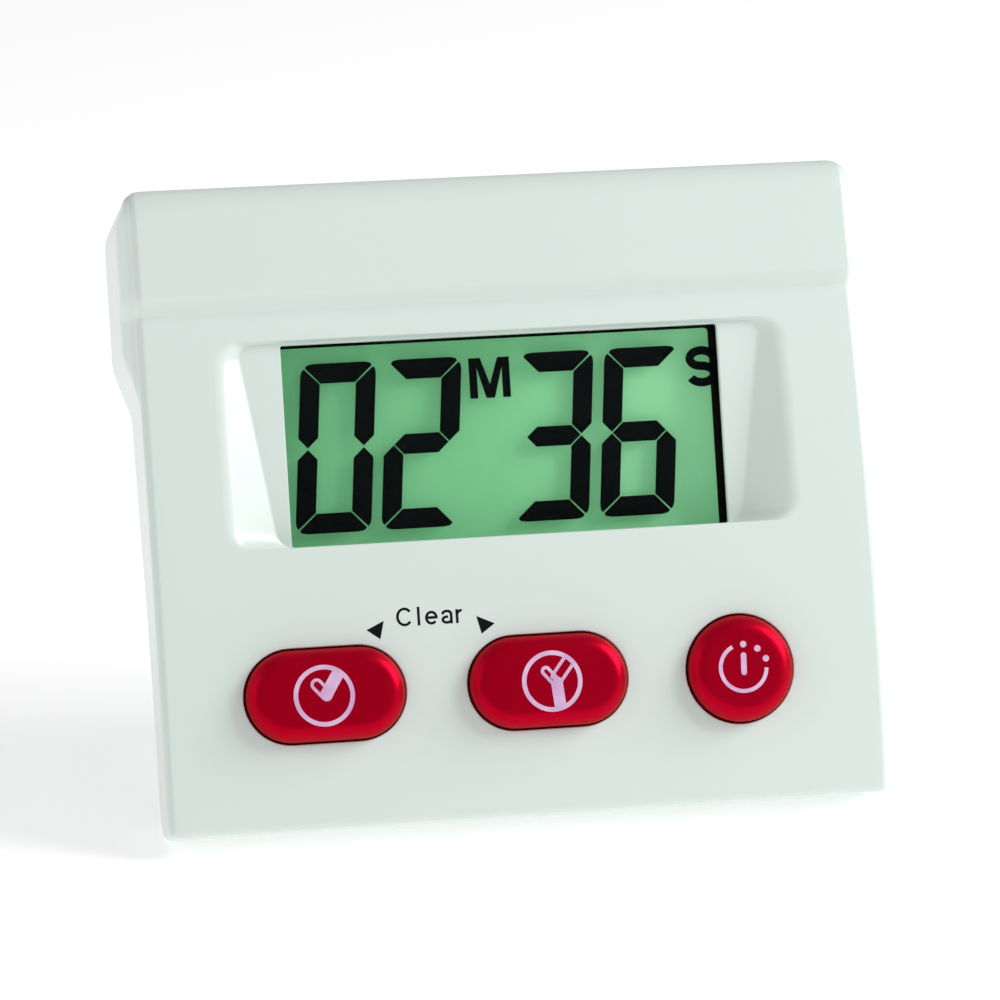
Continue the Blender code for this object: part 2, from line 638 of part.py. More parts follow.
def centre_on_origin(root):
    """Slide the whole timer along y so that its box is centred over the origin."""
    bpy.context.view_layer.update()
    depths = []
    for obj in bpy.context.scene.objects:
        if obj.type == "MESH" and not obj.hide_render:
            depths += [(obj.matrix_world @ v.co).y for v in obj.data.vertices]
    root.location.y -= (min(depths) + max(depths)) / 2


def main():
    clear_scene()
    shell = material("white_plastic", (0.68, 0.77, 0.73), 0.28)
    red = material("red_plastic", (0.42, 0.005, 0.012), 0.25)
    mats = {
        "lcd": material("lcd_film", (0.19, 0.44, 0.26), 0.35),
        "glass": material("lcd_glass", (0.55, 0.66, 0.60), 0.1),
        "reflector": material("lcd_backing", (0.45, 0.52, 0.45), 0.5),
        "inner": material("grey_plastic", (0.12, 0.12, 0.12), 0.5),
        "rubber": material("silicone", (0.25, 0.25, 0.25), 0.7),
        "carbon": material("carbon", (0.02, 0.02, 0.02), 0.7),
        "board": material("circuit_board_green", (0.02, 0.16, 0.05), 0.4),
        "epoxy": material("epoxy", (0.01, 0.01, 0.01), 0.4),
        "steel": material("plated_steel", (0.6, 0.6, 0.6), 0.3, 1.0),
        "screw": material("zinc_steel", (0.5, 0.5, 0.52), 0.35, 1.0),
        "magnet": material("nickel", (0.55, 0.53, 0.5), 0.25, 1.0),
        "brass": material("brass", (0.75, 0.55, 0.22), 0.3, 1.0),
        "ceramic": material("ceramic", (0.75, 0.72, 0.65), 0.5),
        "cell": material("cell_jacket", (0.08, 0.09, 0.12), 0.35, 0.3),
        "red_wire": material("red_wire", (0.5, 0.02, 0.02), 0.5),
        "black_wire": material("black_wire", (0.02, 0.02, 0.02), 0.5),
    }
    root = link("case_axes", None, None, (0, 0, FOOT_FLAT_START * sin(radians(LEAN))))
    root.rotation_euler.x = -radians(LEAN)
    make_front_casing(root, shell)
    make_back_casing(root, shell)
    make_battery_door(root, shell)
    make_stand(root, shell, mats["steel"])
    for name in BUTTONS:
        make_button(name, root, red, mats["rubber"], mats["carbon"])
    make_display(root, mats)
    make_board(root, mats)
    make_battery(root, mats)
    make_fasteners(root, mats)
    centre_on_origin(root)


main()
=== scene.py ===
"""Looks of the countdown timer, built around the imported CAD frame.

Shapes are given in the case's own axes (x across, y from front to back, z up the front plate,
in millimetres), as in the CAD. CASE carries them into the frame: its lean comes from the record's
button axis, and its place from the record's stand hinge.
"""

import json
from math import atan, atan2, copysign, cos, pi, radians, sin, sqrt, tan

import bmesh
import bpy
from mathutils import Matrix, Vector


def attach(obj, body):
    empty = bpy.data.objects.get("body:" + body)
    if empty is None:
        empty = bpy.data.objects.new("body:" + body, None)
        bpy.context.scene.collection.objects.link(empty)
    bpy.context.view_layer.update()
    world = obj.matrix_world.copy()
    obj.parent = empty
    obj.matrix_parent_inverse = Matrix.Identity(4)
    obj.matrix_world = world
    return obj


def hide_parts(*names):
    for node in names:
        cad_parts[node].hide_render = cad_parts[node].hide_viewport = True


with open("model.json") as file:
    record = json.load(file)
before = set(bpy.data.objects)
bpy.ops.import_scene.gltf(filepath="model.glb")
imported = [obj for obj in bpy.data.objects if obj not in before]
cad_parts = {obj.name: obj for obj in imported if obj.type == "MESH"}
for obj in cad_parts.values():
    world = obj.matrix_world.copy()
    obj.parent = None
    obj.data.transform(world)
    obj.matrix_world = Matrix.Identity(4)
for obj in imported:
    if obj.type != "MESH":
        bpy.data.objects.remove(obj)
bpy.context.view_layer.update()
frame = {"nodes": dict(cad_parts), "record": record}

MM = 0.001

# ---- dimensions shared with the CAD (millimetres) ----
HALF = 35.0
FRONT_HALF = 35.6
SIDE_DRAFT = 0.0375
WALL = 1.6
GAP = 0.3
FRONT_BOW = 1.45
ROLL_BOTTOM = 50.2
ROLL_PROUD = 1.3
ROLL_PROUD_TOP = 0.9
ROLL_FRONT_RADIUS = 3.2
ROLL_BACK_RADIUS = 6.0
THIN_DEPTH = 10.0
THICK_DEPTH = 15.8
BACK_CURVE = (12.0, 48.0)
FOOT_FLARE = 1.0
FOOT_FLARE_HEIGHT = 9.0
FOOT_FLAT_START = 6.5
BOTTOM_WALL = 2.6
LID_TOP = 61.2
EAR_Y = (3.2, 14.6)
WINDOW_HALF = 27.7
WINDOW_Z = (27.15, 47.3)
WINDOW_CORNER = 2.3
FLOOR_Z = (27.3, 47.1)
FLOOR_HALF = (22.9, 25.9)
FLOOR_DEPTH = (1.38, 0.41)
LCD_HALF = 21.6
LCD_Z = (27.4, 46.9)
LIP = 0.5
BUTTON_Z = 12.88
BUTTONS = {"minute": (-19.7, 7.85, 4.55), "second": (2.08, 7.85, 4.55), "start": (21.1, 5.3, 5.3)}
FLANGE = (1.3, 1.9)
DOOR_HALF = 25.2
DOOR_Z = 49.6
RIB_X = (26.0, 27.2)
PIVOT = (13.2, 36.0)
LEG_LENGTH = 34.0
LEG_HALF = (15.2, 12.0)
LEG_THICKNESS = 2.2
PIN_RADIUS = 0.75
SCREWS = ((-29.5, 7.0), (29.5, 7.0), (-29.5, 44.0), (29.5, 44.0))
BOARD_SCREWS = ((-23.5, 22.3), (23.5, 22.3))
BOARD = (5.6, 6.6)
MAGNET = (24.5, 33.5, 5.0, 1.6)
BUZZER = (-14.0, 14.0)

# ---- dimensions of these finer shapes, some of which differ from the CAD's (millimetres) ----
HEIGHT = 62.79  # a hair lower, which keeps the finer curves inside the CAD's box
ROLL_EDGE = 2.0
ROLL_EDGE_POWER = 1.3
EAR_HALF = 36.63
EAR_Z = (41.9, 46.8, 59.4, 62.7)
EAR_MARGIN = 0.3
EAR_ROUNDING = 0.16
EDGE_ROUND = 0.8
FOOT_ROUND = 0.7
CROWN_ROUND = 1.2
FLOOR_CORNER = 1.5
RIB_FRONT = 0.7
WINDOW_STEPS = (40, 24)
BUTTON_TOP = -2.95
CAP_TRIM = 0.12
CAP_ROLL = 1.75
CAP_DROP = 1.55
BUTTON_SLOT = 0.06
BUTTON_MOUTH = 0.14
TOOL_FRONT = -6.0
SKIM = 0.004  # a rounded mouth starts this far outside the surface
HAIR = 0.02  # keeps a tool's faces off the faces made before it, as the Booleans need
DEEPER = 0.0007  # step between layers of ink, for the same reason

# ---- the case's place in the frame, from the record ----
JOINTS = {joint["name"]: joint for joint in frame["record"]["behaviour"]["joints"]}
PRESS = JOINTS["minute_press"]["axis"]
LEAN = atan2(-PRESS[2], PRESS[1])
TURN = Matrix.Rotation(-LEAN, 4, "X")
HINGE = Vector(JOINTS["stand_hinge"]["pos_m"])
CASE = Matrix.Translation(HINGE - TURN @ (Vector((0, *PIVOT)) * MM)) @ TURN @ Matrix.Scale(MM, 4)


# ---- curves of the case ----
def steps(start, end, count):
    return [start + (end - start) * i / count for i in range(count + 1)]


def front_y(z, inset=0.0):
    """Front of the case at height z: bowed plate, soft step, roll, and its rounded top."""
    if z <= ROLL_BOTTOM:
        middle = ROLL_BOTTOM / 2
        return -FRONT_BOW * (1 - ((z - middle) / middle) ** 2) + inset
    if z <= ROLL_BOTTOM + ROLL_EDGE:
        t = (z - ROLL_BOTTOM) / ROLL_EDGE
        return -ROLL_PROUD * sin(t * pi / 2) ** ROLL_EDGE_POWER + inset
    centre = HEIGHT - ROLL_FRONT_RADIUS
    if z <= centre:
        t = (z - ROLL_BOTTOM - ROLL_EDGE) / (centre - ROLL_BOTTOM - ROLL_EDGE)
        return -ROLL_PROUD + (ROLL_PROUD - ROLL_PROUD_TOP) * t + inset
    radius = ROLL_FRONT_RADIUS - inset
    return ROLL_FRONT_RADIUS - ROLL_PROUD_TOP - sqrt(radius ** 2 - min(z - centre, radius) ** 2)


def back_y(z, inset=0.0):
    """Back of the case at height z: flared foot, thin part, slope to the roll, rounded top."""
    centre = HEIGHT - ROLL_BACK_RADIUS
    if z > centre:
        radius = ROLL_BACK_RADIUS - inset
        return THICK_DEPTH - ROLL_BACK_RADIUS + sqrt(radius ** 2 - min(z - centre, radius) ** 2)
    t = min(max((z - BACK_CURVE[0]) / (BACK_CURVE[1] - BACK_CURVE[0]), 0), 1)
    depth = THIN_DEPTH + (THICK_DEPTH - THIN_DEPTH) * t * t * (3 - 2 * t)
    if z < FOOT_FLARE_HEIGHT:
        depth += FOOT_FLARE * (1 - z / FOOT_FLARE_HEIGHT) ** 2
    return depth - inset


def floor_y(z):
    """The recess floor, which leans back towards its foot."""
    t = (z - LCD_Z[0]) / (LCD_Z[1] - LCD_Z[0])
    return FLOOR_DEPTH[0] + (FLOOR_DEPTH[1] - FLOOR_DEPTH[0]) * t


def soft_min(values, width):
    """Smallest value, with the corners between two of them rounded over width."""
    result = values[0]
    for value in values[1:]:
        blend = max(width - abs(result - value), 0) / width
        result = min(result, value) - blend * blend * width / 4
    return result


def half_at(y):
    """Half width of the plain side, which closes in towards the back."""
    return FRONT_HALF - SIDE_DRAFT * (y + FRONT_BOW)


def ear_bulge(y, z):
    """How far the side stands out at the ends of the battery roll."""
    front = (y - front_y(z) - EAR_MARGIN) / EAR_Y[0]
    back = (back_y(z) - EAR_MARGIN - y) / (THICK_DEPTH - EAR_Y[1])
    low = (z - EAR_Z[0]) / (EAR_Z[1] - EAR_Z[0])
    high = (EAR_Z[3] - z) / (EAR_Z[3] - EAR_Z[2])
    rise = max(0.0, min(1.0, soft_min((front, back, low, high, 1.0), EAR_ROUNDING)))
    return (EAR_HALF - half_at(y)) * rise


# ---- mesh building ----
def loft(loops):
    """Closed solid through loops that have equally many points, with both end loops filled."""
    bm = bmesh.new()
    rings = [[bm.verts.new(point) for point in loop] for loop in loops]
    for low, high in zip(rings, rings[1:]):
        for i in range(len(low)):
            j = (i + 1) % len(low)
            bm.faces.new((low[i], low[j], high[j], high[i]))
    bm.faces.new(rings[0])
    bm.faces.new(rings[-1])
    return bm


def prism_x(outline, x0, x1):
    return loft([[(x, y, z) for y, z in outline] for x in (x0, x1)])


def prism_y(outline, y0, y1):
    return loft([[(x, y, z) for x, z in outline] for y in (y0, y1)])


def block(x, y, z):
    return prism_x([(y[0], z[0]), (y[1], z[0]), (y[1], z[1]), (y[0], z[1])], x[0], x[1])


def circle(radius, sides, cx=0.0, cz=0.0):
    turn = 2 * pi / sides
    return [(cx + radius * cos(turn * i), cz + radius * sin(turn * i)) for i in range(sides)]


def turned_y(profile, sides, cx=0.0, cz=0.0):
    return loft([[(x, y, z) for x, z in circle(r, sides, cx, cz)] for r, y in profile])


def turned_x(profile, sides, cy=0.0, cz=0.0):
    return loft([[(x, y, z) for y, z in circle(r, sides, cy, cz)] for r, x in profile])


def peg(radius, y0, y1, sides, cx, cz):
    return turned_y([(radius, y0), (radius, y1)], sides, cx, cz)


def rounded_rect(half, z0, z1, corner, arc=10, cx=0.0, straight=(1, 1)):
    """Rounded rectangle; straight gives how many pieces its long and upright sides have."""
    centres = ((half - corner, z1 - corner), (-half + corner, z1 - corner),
               (-half + corner, z0 + corner), (half - corner, z0 + corner))
    corners = []
    for k, (x, z) in enumerate(centres):
        turns = [radians(90 * k + a) for a in steps(0, 90, arc)]
        corners.append([(cx + x + corner * cos(a), z + corner * sin(a)) for a in turns])
    points = []
    for k, bend in enumerate(corners):
        points += bend
        ahead = corners[(k + 1) % 4][0]
        parts = straight[k % 2]
        for i in range(1, parts):
            t = i / parts
            points.append(tuple(p * (1 - t) + q * t for p, q in zip(bend[-1], ahead)))
    return points


def tilted(bm, angle, spot):
    """Turn a shape about x and set it at a spot of the case."""
    matrix = Matrix.Translation(Vector(spot)) @ Matrix.Rotation(angle, 4, "X")
    bmesh.ops.transform(bm, matrix=matrix, verts=bm.verts)
    return bm


def add_object(name, data):
    obj = bpy.data.objects.new(name, data)
    bpy.context.scene.collection.objects.link(obj)
    return obj


def mesh_object(name, bm, place=CASE):
    """Object from a shape in the case's axes, or in the axes of another placing matrix."""
    bmesh.ops.recalc_face_normals(bm, faces=bm.faces)
    bmesh.ops.transform(bm, matrix=place, verts=bm.verts)
    mesh = bpy.data.meshes.new(name)
    bm.to_mesh(mesh)
    bm.free()
    return add_object(name, mesh)


def carve(obj, tools, place=CASE):
    """Apply a list of (operation, bmesh) Booleans to obj, one after another."""
    helpers = []
    for operation, bm in tools:
        helper = mesh_object("helper", bm, place)
        mod = obj.modifiers.new("carve", "BOOLEAN")
        mod.operation = operation
        mod.solver = "EXACT"
        mod.object = helper
        helpers.append(helper)
    settle(obj)
    for helper in helpers:
        mesh = helper.data
        bpy.data.objects.remove(helper)
        bpy.data.meshes.remove(mesh)


def settle(obj):
    """Bake the modifiers so far into the mesh."""
    graph = bpy.context.evaluated_depsgraph_get()
    baked = bpy.data.meshes.new_from_object(obj.evaluated_get(graph))
    old = obj.data
    obj.modifiers.clear()
    obj.data = baked
    bpy.data.meshes.remove(old)


def soften(obj, width):
    """Round the edges of obj a little with a Bevel modifier; width is in millimetres."""
    edge = obj.modifiers.new("edge", "BEVEL")
    edge.width = width * MM
    edge.segments = 2
    edge.limit_method = "ANGLE"
    edge.angle_limit = radians(40)


def finish_piece(obj, mat, body, nodes=(), smooth=32, bevel=0.0):
    """Smooth shading, material and body for a piece, with an optional bevel; the CAD nodes it
    stands for are hidden.
    """
    if bevel:
        soften(obj, bevel)
        settle(obj)
    obj.data.materials.clear()
    obj.data.materials.append(mat)
    obj.data.shade_smooth()
    obj.data.set_sharp_from_angle(angle=radians(smooth))
    weigh = obj.modifiers.new("weigh", "WEIGHTED_NORMAL")
    weigh.keep_sharp = True
    weigh.weight = 80
    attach(obj, body)
    if nodes:
        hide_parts(*nodes)


# ---- materials ----
def new_material(name):
    mat = bpy.data.materials.new(name)
    mat.use_nodes = True
    tree = mat.node_tree
    return mat, tree, tree.nodes["Principled BSDF"]


def preset(node, values):
    """Put constants on a node's own sockets."""
    for name, value in values.items():
        node.inputs[name].default_value = value


def ramp_node(tree, source, stops):
    """Colour ramp over source, from (position, colour) stops."""
    ramp = tree.nodes.new("ShaderNodeValToRGB")
    tree.links.new(source, ramp.inputs["Fac"])
    elements = ramp.color_ramp.elements
    elements[0].position, elements[0].color = stops[0][0], (*stops[0][1], 1)
    elements[1].position, elements[1].color = stops[-1][0], (*stops[-1][1], 1)
    for position, colour in stops[1:-1]:
        elements.new(position).color = (*colour, 1)
    return ramp.outputs["Color"]


def noise_node(tree, scale, detail=4.0):
    place = tree.nodes.new("ShaderNodeTexCoord")
    noise = tree.nodes.new("ShaderNodeTexNoise")
    preset(noise, {"Scale": scale, "Detail": detail})
    tree.links.new(place.outputs["Object"], noise.inputs["Vector"])
    return noise.outputs["Fac"]


def range_node(tree, source, low, high, start=0.3, end=0.7):
    """Carry the range from start to end, by default the middle of a noise, over to low to high."""
    node = tree.nodes.new("ShaderNodeMapRange")
    preset(node, {"From Min": start, "From Max": end, "To Min": low, "To Max": high})
    tree.links.new(source, node.inputs["Value"])
    return node.outputs["Result"]


def bump_node(tree, shader, source, strength, distance):
    bump = tree.nodes.new("ShaderNodeBump")
    preset(bump, {"Strength": strength, "Distance": distance})
    tree.links.new(source, bump.inputs["Height"])
    tree.links.new(bump.outputs["Normal"], shader.inputs["Normal"])


def mix_node(tree, first, blend="MIX"):
    """Colour mix over first; its other inputs are left to the caller."""
    mix = tree.nodes.new("ShaderNodeMix")
    mix.data_type = "RGBA"
    mix.blend_type = blend
    tree.links.new(first, mix.inputs["A"])
    return mix


def surface(name, dark, light, roughness, metallic=0.0, grain=900.0, patch=60.0, relief=0.15,
            shine=0.5):
    """General finish: two close colours in soft patches, uneven gloss and a fine relief."""
    mat, tree, shader = new_material(name)
    tree.links.new(ramp_node(tree, noise_node(tree, patch), ((0.35, dark), (0.65, light))),
                   shader.inputs["Base Color"])
    fine = noise_node(tree, grain, 3.0)
    tree.links.new(range_node(tree, fine, *roughness), shader.inputs["Roughness"])
    preset(shader, {"Metallic": metallic, "Specular IOR Level": shine})
    bump_node(tree, shader, fine, relief, 0.00002)
    return mat


def plastic_with_edge_highlight(name, dark, light, edge, roughness, coat, sheen=(1.0, 1.0, 1.0),
                 shine=0.5, metal=0.0):
    """Moulded gloss plastic: soft flow patches, faint orange peel, and a painted highlight that
    lightens convex edges.
    """
    mat, tree, shader = new_material(name)
    body = ramp_node(tree, noise_node(tree, 30.0, 1.0), ((0.3, dark), (0.7, light)))
    # Painted highlight: pointiness finds the convex edges, which are mixed towards the lighter
    # edge colour.
    geometry = tree.nodes.new("ShaderNodeNewGeometry")
    painted_edge_highlight = range_node(tree, geometry.outputs["Pointiness"], 0.0, 0.3, 0.62, 0.78)
    mix = mix_node(tree, body)
    tree.links.new(painted_edge_highlight, mix.inputs["Factor"])
    mix.inputs["B"].default_value = (*edge, 1)
    tree.links.new(mix.outputs["Result"], shader.inputs["Base Color"])
    tree.links.new(range_node(tree, noise_node(tree, 300.0, 5.0), *roughness),
                   shader.inputs["Roughness"])
    preset(shader, {"Coat Weight": coat, "Coat Roughness": 0.12, "IOR": 1.48, "Metallic": metal,
                    "Specular Tint": (*sheen, 1), "Specular IOR Level": shine})
    bump_node(tree, shader, noise_node(tree, 420.0, 2.0), 0.06, 0.00001)
    return mat


def clear_material(name, dark, light, alpha):
    """Nearly clear sheet with a faint uneven tint and gloss."""
    mat, tree, shader = new_material(name)
    tree.links.new(ramp_node(tree, noise_node(tree, 200.0), ((0.3, dark), (0.7, light))),
                   shader.inputs["Base Color"])
    tree.links.new(range_node(tree, noise_node(tree, 700.0), 0.08, 0.16),
                   shader.inputs["Roughness"])
    preset(shader, {"Alpha": alpha, "Specular IOR Level": 0.3})
    return mat


def display_material():
    """Green reflector: painted light that makes it darker to the left and lighter to the right, a
    fine sparkle, and a painted glow from emission, though it is no lamp.
    """
    mat, tree, shader = new_material("reflector_film")
    place = tree.nodes.new("ShaderNodeTexCoord")
    split = tree.nodes.new("ShaderNodeSeparateXYZ")
    tree.links.new(place.outputs["Object"], split.inputs["Vector"])
    # Painted light: the green ramps from dark at the left to light at the right, as if lit from
    # the right.
    half = LCD_HALF * MM
    across = range_node(tree, split.outputs["X"], 0.0, 1.0, -half, half)
    body = ramp_node(tree, across, ((0.0, (0.13, 0.37, 0.18)), (0.5, (0.19, 0.51, 0.255)),
                                    (1.0, (0.37, 0.80, 0.45))))
    sparkle = ramp_node(tree, noise_node(tree, 4200.0, 2.0),
                        ((0.3, (0.93, 0.94, 0.93)), (0.7, (1.0, 1.0, 1.0))))
    mix = mix_node(tree, body, "MULTIPLY")
    mix.inputs["Factor"].default_value = 1.0
    tree.links.new(sparkle, mix.inputs["B"])
    tree.links.new(mix.outputs["Result"], shader.inputs["Base Color"])
    tree.links.new(range_node(tree, noise_node(tree, 2500.0), 0.5, 0.65),
                   shader.inputs["Roughness"])
    # Painted glow: emission lifts the green evenly, though the reflector gives no light.
    preset(shader, {"Specular IOR Level": 0.1, "Emission Color": (0.15, 0.52, 0.23, 1),
                    "Emission Strength": 0.45})
    return mat


# The third colour of each plastic is its painted edge highlight.
WHITE = plastic_with_edge_highlight("white_plastic", (0.715, 0.805, 0.765), (0.725, 0.815, 0.775),
                     (0.77, 0.85, 0.81), (0.28, 0.32), 0.2)
WHITE_BACK = plastic_with_edge_highlight("white_plastic_back", (0.68, 0.775, 0.735), (0.70, 0.79, 0.75),
                          (0.74, 0.82, 0.78), (0.30, 0.42), 0.1)
RED = plastic_with_edge_highlight("red_plastic", (0.44, 0.0006, 0.014), (0.47, 0.0009, 0.017),
                   (0.54, 0.003, 0.03), (0.32, 0.38), 0.0, sheen=(1.0, 0.015, 0.09), shine=0.4,
                   metal=0.62)
INK = surface("icon_ink", (0.60, 0.36, 0.60), (0.76, 0.52, 0.74), (0.45, 0.6), grain=1500.0,
              patch=500.0)
BLACK_INK = surface("label_ink", (0.004, 0.006, 0.007), (0.007, 0.009, 0.010), (0.4, 0.55),
                    relief=0.05, shine=0.08)
SEGMENT = surface("segment_black", (0.0012, 0.002, 0.0024), (0.0018, 0.003, 0.0035), (0.4, 0.55),
                  relief=0.02, shine=0.02)
# Black of the display mask: partly the display's own border, partly painted shadow cast by the
# recess's top and right edges.
MASK_AND_SHADOW = surface("display_mask_and_shadow", (0.006, 0.003, 0.002), (0.014, 0.006, 0.004), (0.35, 0.5),
               relief=0.05, shine=0.1)
FILM = clear_material("polarizer_film", (0.018, 0.027, 0.022), (0.022, 0.033, 0.028), 0.03)
GLASS = clear_material("thin_glass", (0.027, 0.036, 0.031), (0.033, 0.044, 0.039), 0.015)
STEEL = surface("plated_steel", (0.50, 0.50, 0.51), (0.62, 0.62, 0.63), (0.22, 0.36), 1.0, 1400.0)
ZINC = surface("zinc_screw", (0.46, 0.47, 0.50), (0.60, 0.61, 0.63), (0.28, 0.45), 1.0, 1600.0)
NICKEL = surface("nickel_plate", (0.54, 0.52, 0.49), (0.66, 0.64, 0.60), (0.16, 0.32), 1.0, 1200.0)
SILICONE = surface("silicone", (0.20, 0.20, 0.20), (0.27, 0.27, 0.27), (0.55, 0.75), relief=0.3)
CARBON = surface("carbon", (0.015, 0.015, 0.015), (0.03, 0.03, 0.03), (0.6, 0.8), relief=0.4)
BOARD_GREEN = surface("solder_mask", (0.012, 0.10, 0.03), (0.03, 0.16, 0.05), (0.25, 0.4))
EPOXY = surface("epoxy", (0.006, 0.006, 0.006), (0.012, 0.012, 0.013), (0.15, 0.3))
CERAMIC = surface("fired_ceramic", (0.66, 0.62, 0.53), (0.76, 0.72, 0.64), (0.45, 0.65))
BRASS = surface("rolled_brass", (0.62, 0.43, 0.15), (0.74, 0.54, 0.22), (0.2, 0.38), 1.0)
JACKET = surface("cell_jacket", (0.05, 0.06, 0.09), (0.09, 0.10, 0.14), (0.2, 0.35), 0.4)
HOLDER = surface("black_carrier", (0.01, 0.01, 0.01), (0.025, 0.025, 0.025), (0.4, 0.6))
RED_WIRE = surface("red_insulation", (0.40, 0.01, 0.01), (0.5, 0.02, 0.02), (0.4, 0.55))
BLACK_WIRE = surface("black_insulation", (0.01, 0.01, 0.01), (0.03, 0.03, 0.03), (0.4, 0.55))


# ---- case ----
def case_heights():
    """Heights of the case's rings, closer together where its outline curves."""
    below_window, below_back_curve = 27.0, 56.0
    roll_low, roll_high = ROLL_BOTTOM + ROLL_EDGE, HEIGHT - ROLL_FRONT_RADIUS
    rows = [FOOT_ROUND * (1 - cos(radians(15 * i))) for i in range(7)]
    rows += steps(FOOT_ROUND, below_window, 22)[1:]
    rows += steps(below_window, ROLL_BOTTOM, 44)[1:]
    rows += [ROLL_BOTTOM + ROLL_EDGE * (1 - cos(radians(10 * i))) for i in range(1, 10)]
    rows += steps(roll_low, below_back_curve, 6)[1:]
    rows += steps(below_back_curve, roll_high, 8)[1:]
    rows += [roll_high + ROLL_FRONT_RADIUS * sin(radians(5 * i)) for i in range(1, 19)]
    return rows


def case_ring(z):
    """Level outline of the whole case at height z, with rounded upright edges."""
    pull = FOOT_ROUND - sqrt(FOOT_ROUND ** 2 - (FOOT_ROUND - z) ** 2) if z < FOOT_ROUND else 0.0
    front = front_y(z) + pull
    top = HEIGHT - CROWN_ROUND
    if z > top:
        pull += CROWN_ROUND - sqrt(max(CROWN_ROUND ** 2 - (z - top) ** 2, 0))
    back = min(back_y(z), FOOT_FLAT_START + z / tan(LEAN))
    y0, y1 = front + EDGE_ROUND, back - EDGE_ROUND
    x0, x1 = half_at(y0) - pull - EDGE_ROUND, half_at(y1) - pull - EDGE_ROUND
    quarter = steps(-90, 0, 6)
    outline = [(x0 + EDGE_ROUND * cos(radians(a)), y0 + EDGE_ROUND * sin(radians(a)))
               for a in quarter]
    for y in steps(y0, y1, 30)[1:-1]:
        outline.append((half_at(y) - pull + ear_bulge(y, z), y))
    outline += [(x1 + EDGE_ROUND * cos(radians(a + 90)), y1 + EDGE_ROUND * sin(radians(a + 90)))
                for a in quarter]
    across = steps(-1, 1, 56)[1:-1]
    points = [(t * x0, front, z) for t in across]
    points += [(x, y, z) for x, y in outline]
    points += [(-t * x1, back, z) for t in across]
    points += [(-x, y, z) for x, y in reversed(outline)]
    return points


def side_profile(inset, low):
    """Front and back outlines of the case at an inset, as a (y, z) loop."""
    top = HEIGHT - inset
    front = steps(low, ROLL_BOTTOM, 30)
    front += [ROLL_BOTTOM + ROLL_EDGE * part for part in (0.05, 0.15, 0.3, 0.5, 0.75, 1.0)]
    front += [HEIGHT - ROLL_FRONT_RADIUS + (ROLL_FRONT_RADIUS - inset) * sin(radians(10 * i))
              for i in range(10)]
    back = [HEIGHT - ROLL_BACK_RADIUS + (ROLL_BACK_RADIUS - inset) * sin(radians(10 * i))
            for i in range(9, -1, -1)]
    back += steps(BACK_CURVE[1], low, 60)
    return ([(front_y(min(z, top), inset), z) for z in front]
            + [(back_y(min(z, top), inset), z) for z in back])


def floor_outline():
    """Outline of the recess floor, wider at its top, with a point for each point of the rim."""
    stand_in = 10.0
    edge = stand_in - FLOOR_CORNER
    points = []
    for x, z in rounded_rect(stand_in, *FLOOR_Z, FLOOR_CORNER, straight=WINDOW_STEPS):
        t = (z - FLOOR_Z[0]) / (FLOOR_Z[1] - FLOOR_Z[0])
        straight = FLOOR_HALF[0] + (FLOOR_HALF[1] - FLOOR_HALF[0]) * t - FLOOR_CORNER
        if abs(x) <= edge:
            points.append((x / edge * straight, z))
        else:
            points.append((copysign(straight + abs(x) - edge, x), z))
    return points


def away_from_floor(at_rim, run):
    """Level direction in which the rim at a point rounds over into the front plate."""
    nearly_upright, nearly_level = 0.3, 0.05
    if abs(run.x) < min(abs(run.z), nearly_upright):
        return Vector((0, 0, copysign(1, run.z)))
    if run.length > nearly_level:
        return run.normalized()
    middle = Vector((0, at_rim.y, (WINDOW_Z[0] + WINDOW_Z[1]) / 2))
    return (at_rim - middle).normalized()


def wall_section(rim_point, floor_point):
    """Points down the recess wall: in front, round the rim, down, and round onto the floor."""
    (rx, rz), (fx, fz) = rim_point, floor_point
    foot_round = 0.18
    at_rim = Vector((rx, front_y(rz), rz))
    at_floor = Vector((fx, floor_y(fz), fz))
    down = (at_floor - at_rim).normalized()
    run = Vector((rx - fx, 0, rz - fz))
    flare = 0.7 * min(1.0, run.length / 1.5) + 0.12
    start = at_rim + away_from_floor(at_rim, run) * flare
    start.y = front_y(min(start.z, ROLL_BOTTOM - 0.01)) - SKIM
    wall = at_rim + down * flare
    points = [Vector((start.x, TOOL_FRONT, start.z))]
    for t in steps(0, 1, 8):
        points.append(start * (1 - t) ** 2 + at_rim * 2 * t * (1 - t) + wall * t ** 2)
    foot = at_floor - down * foot_round
    towards_middle = (Vector((fx * 0.97, floor_y(fz), fz)) - at_floor).normalized()
    inside = at_floor + towards_middle * foot_round
    points += [foot, (foot + at_floor * 2 + inside) / 4 if fx else at_floor]
    points.append(Vector((inside.x, floor_y(inside.z), inside.z)))
    return points


def window_tool():
    """Display recess: rounded rim, walls that slope to the sides, and a tilted floor."""
    rim = rounded_rect(WINDOW_HALF, *WINDOW_Z, WINDOW_CORNER, straight=WINDOW_STEPS)
    sections = [wall_section(*pair) for pair in zip(rim, floor_outline())]
    return loft(zip(*sections))


def lcd_tool():
    """Straight opening for the display with a slightly eased lip."""
    loops = []
    for behind, grow in ((-4.0, 0.14), (-0.001, 0.14), (0.06, 0.04), (0.16, 0.0), (4.5, 0.0)):
        ring = rounded_rect(LCD_HALF + grow, LCD_Z[0] - 0.05, LCD_Z[1] + grow, 0.25 + grow, 6)
        loops.append([(x, floor_y(z) + behind, z) for x, z in ring])
    return loft(loops)


def button_ring(name, grow):
    """Outline of a button, grown or shrunk: two half circles, or one circle if it is round."""
    cx, half_x, half_z = BUTTONS[name]
    radius = half_z + grow
    shift = half_x - half_z
    arc = 28
    count = arc + 1 if shift else arc
    points = []
    for side in (1, -1):
        for i in range(count):
            a = radians(-90 * side + 180 * i / arc)
            points.append((cx + side * shift + radius * cos(a), BUTTON_Z + radius * sin(a)))
    return points


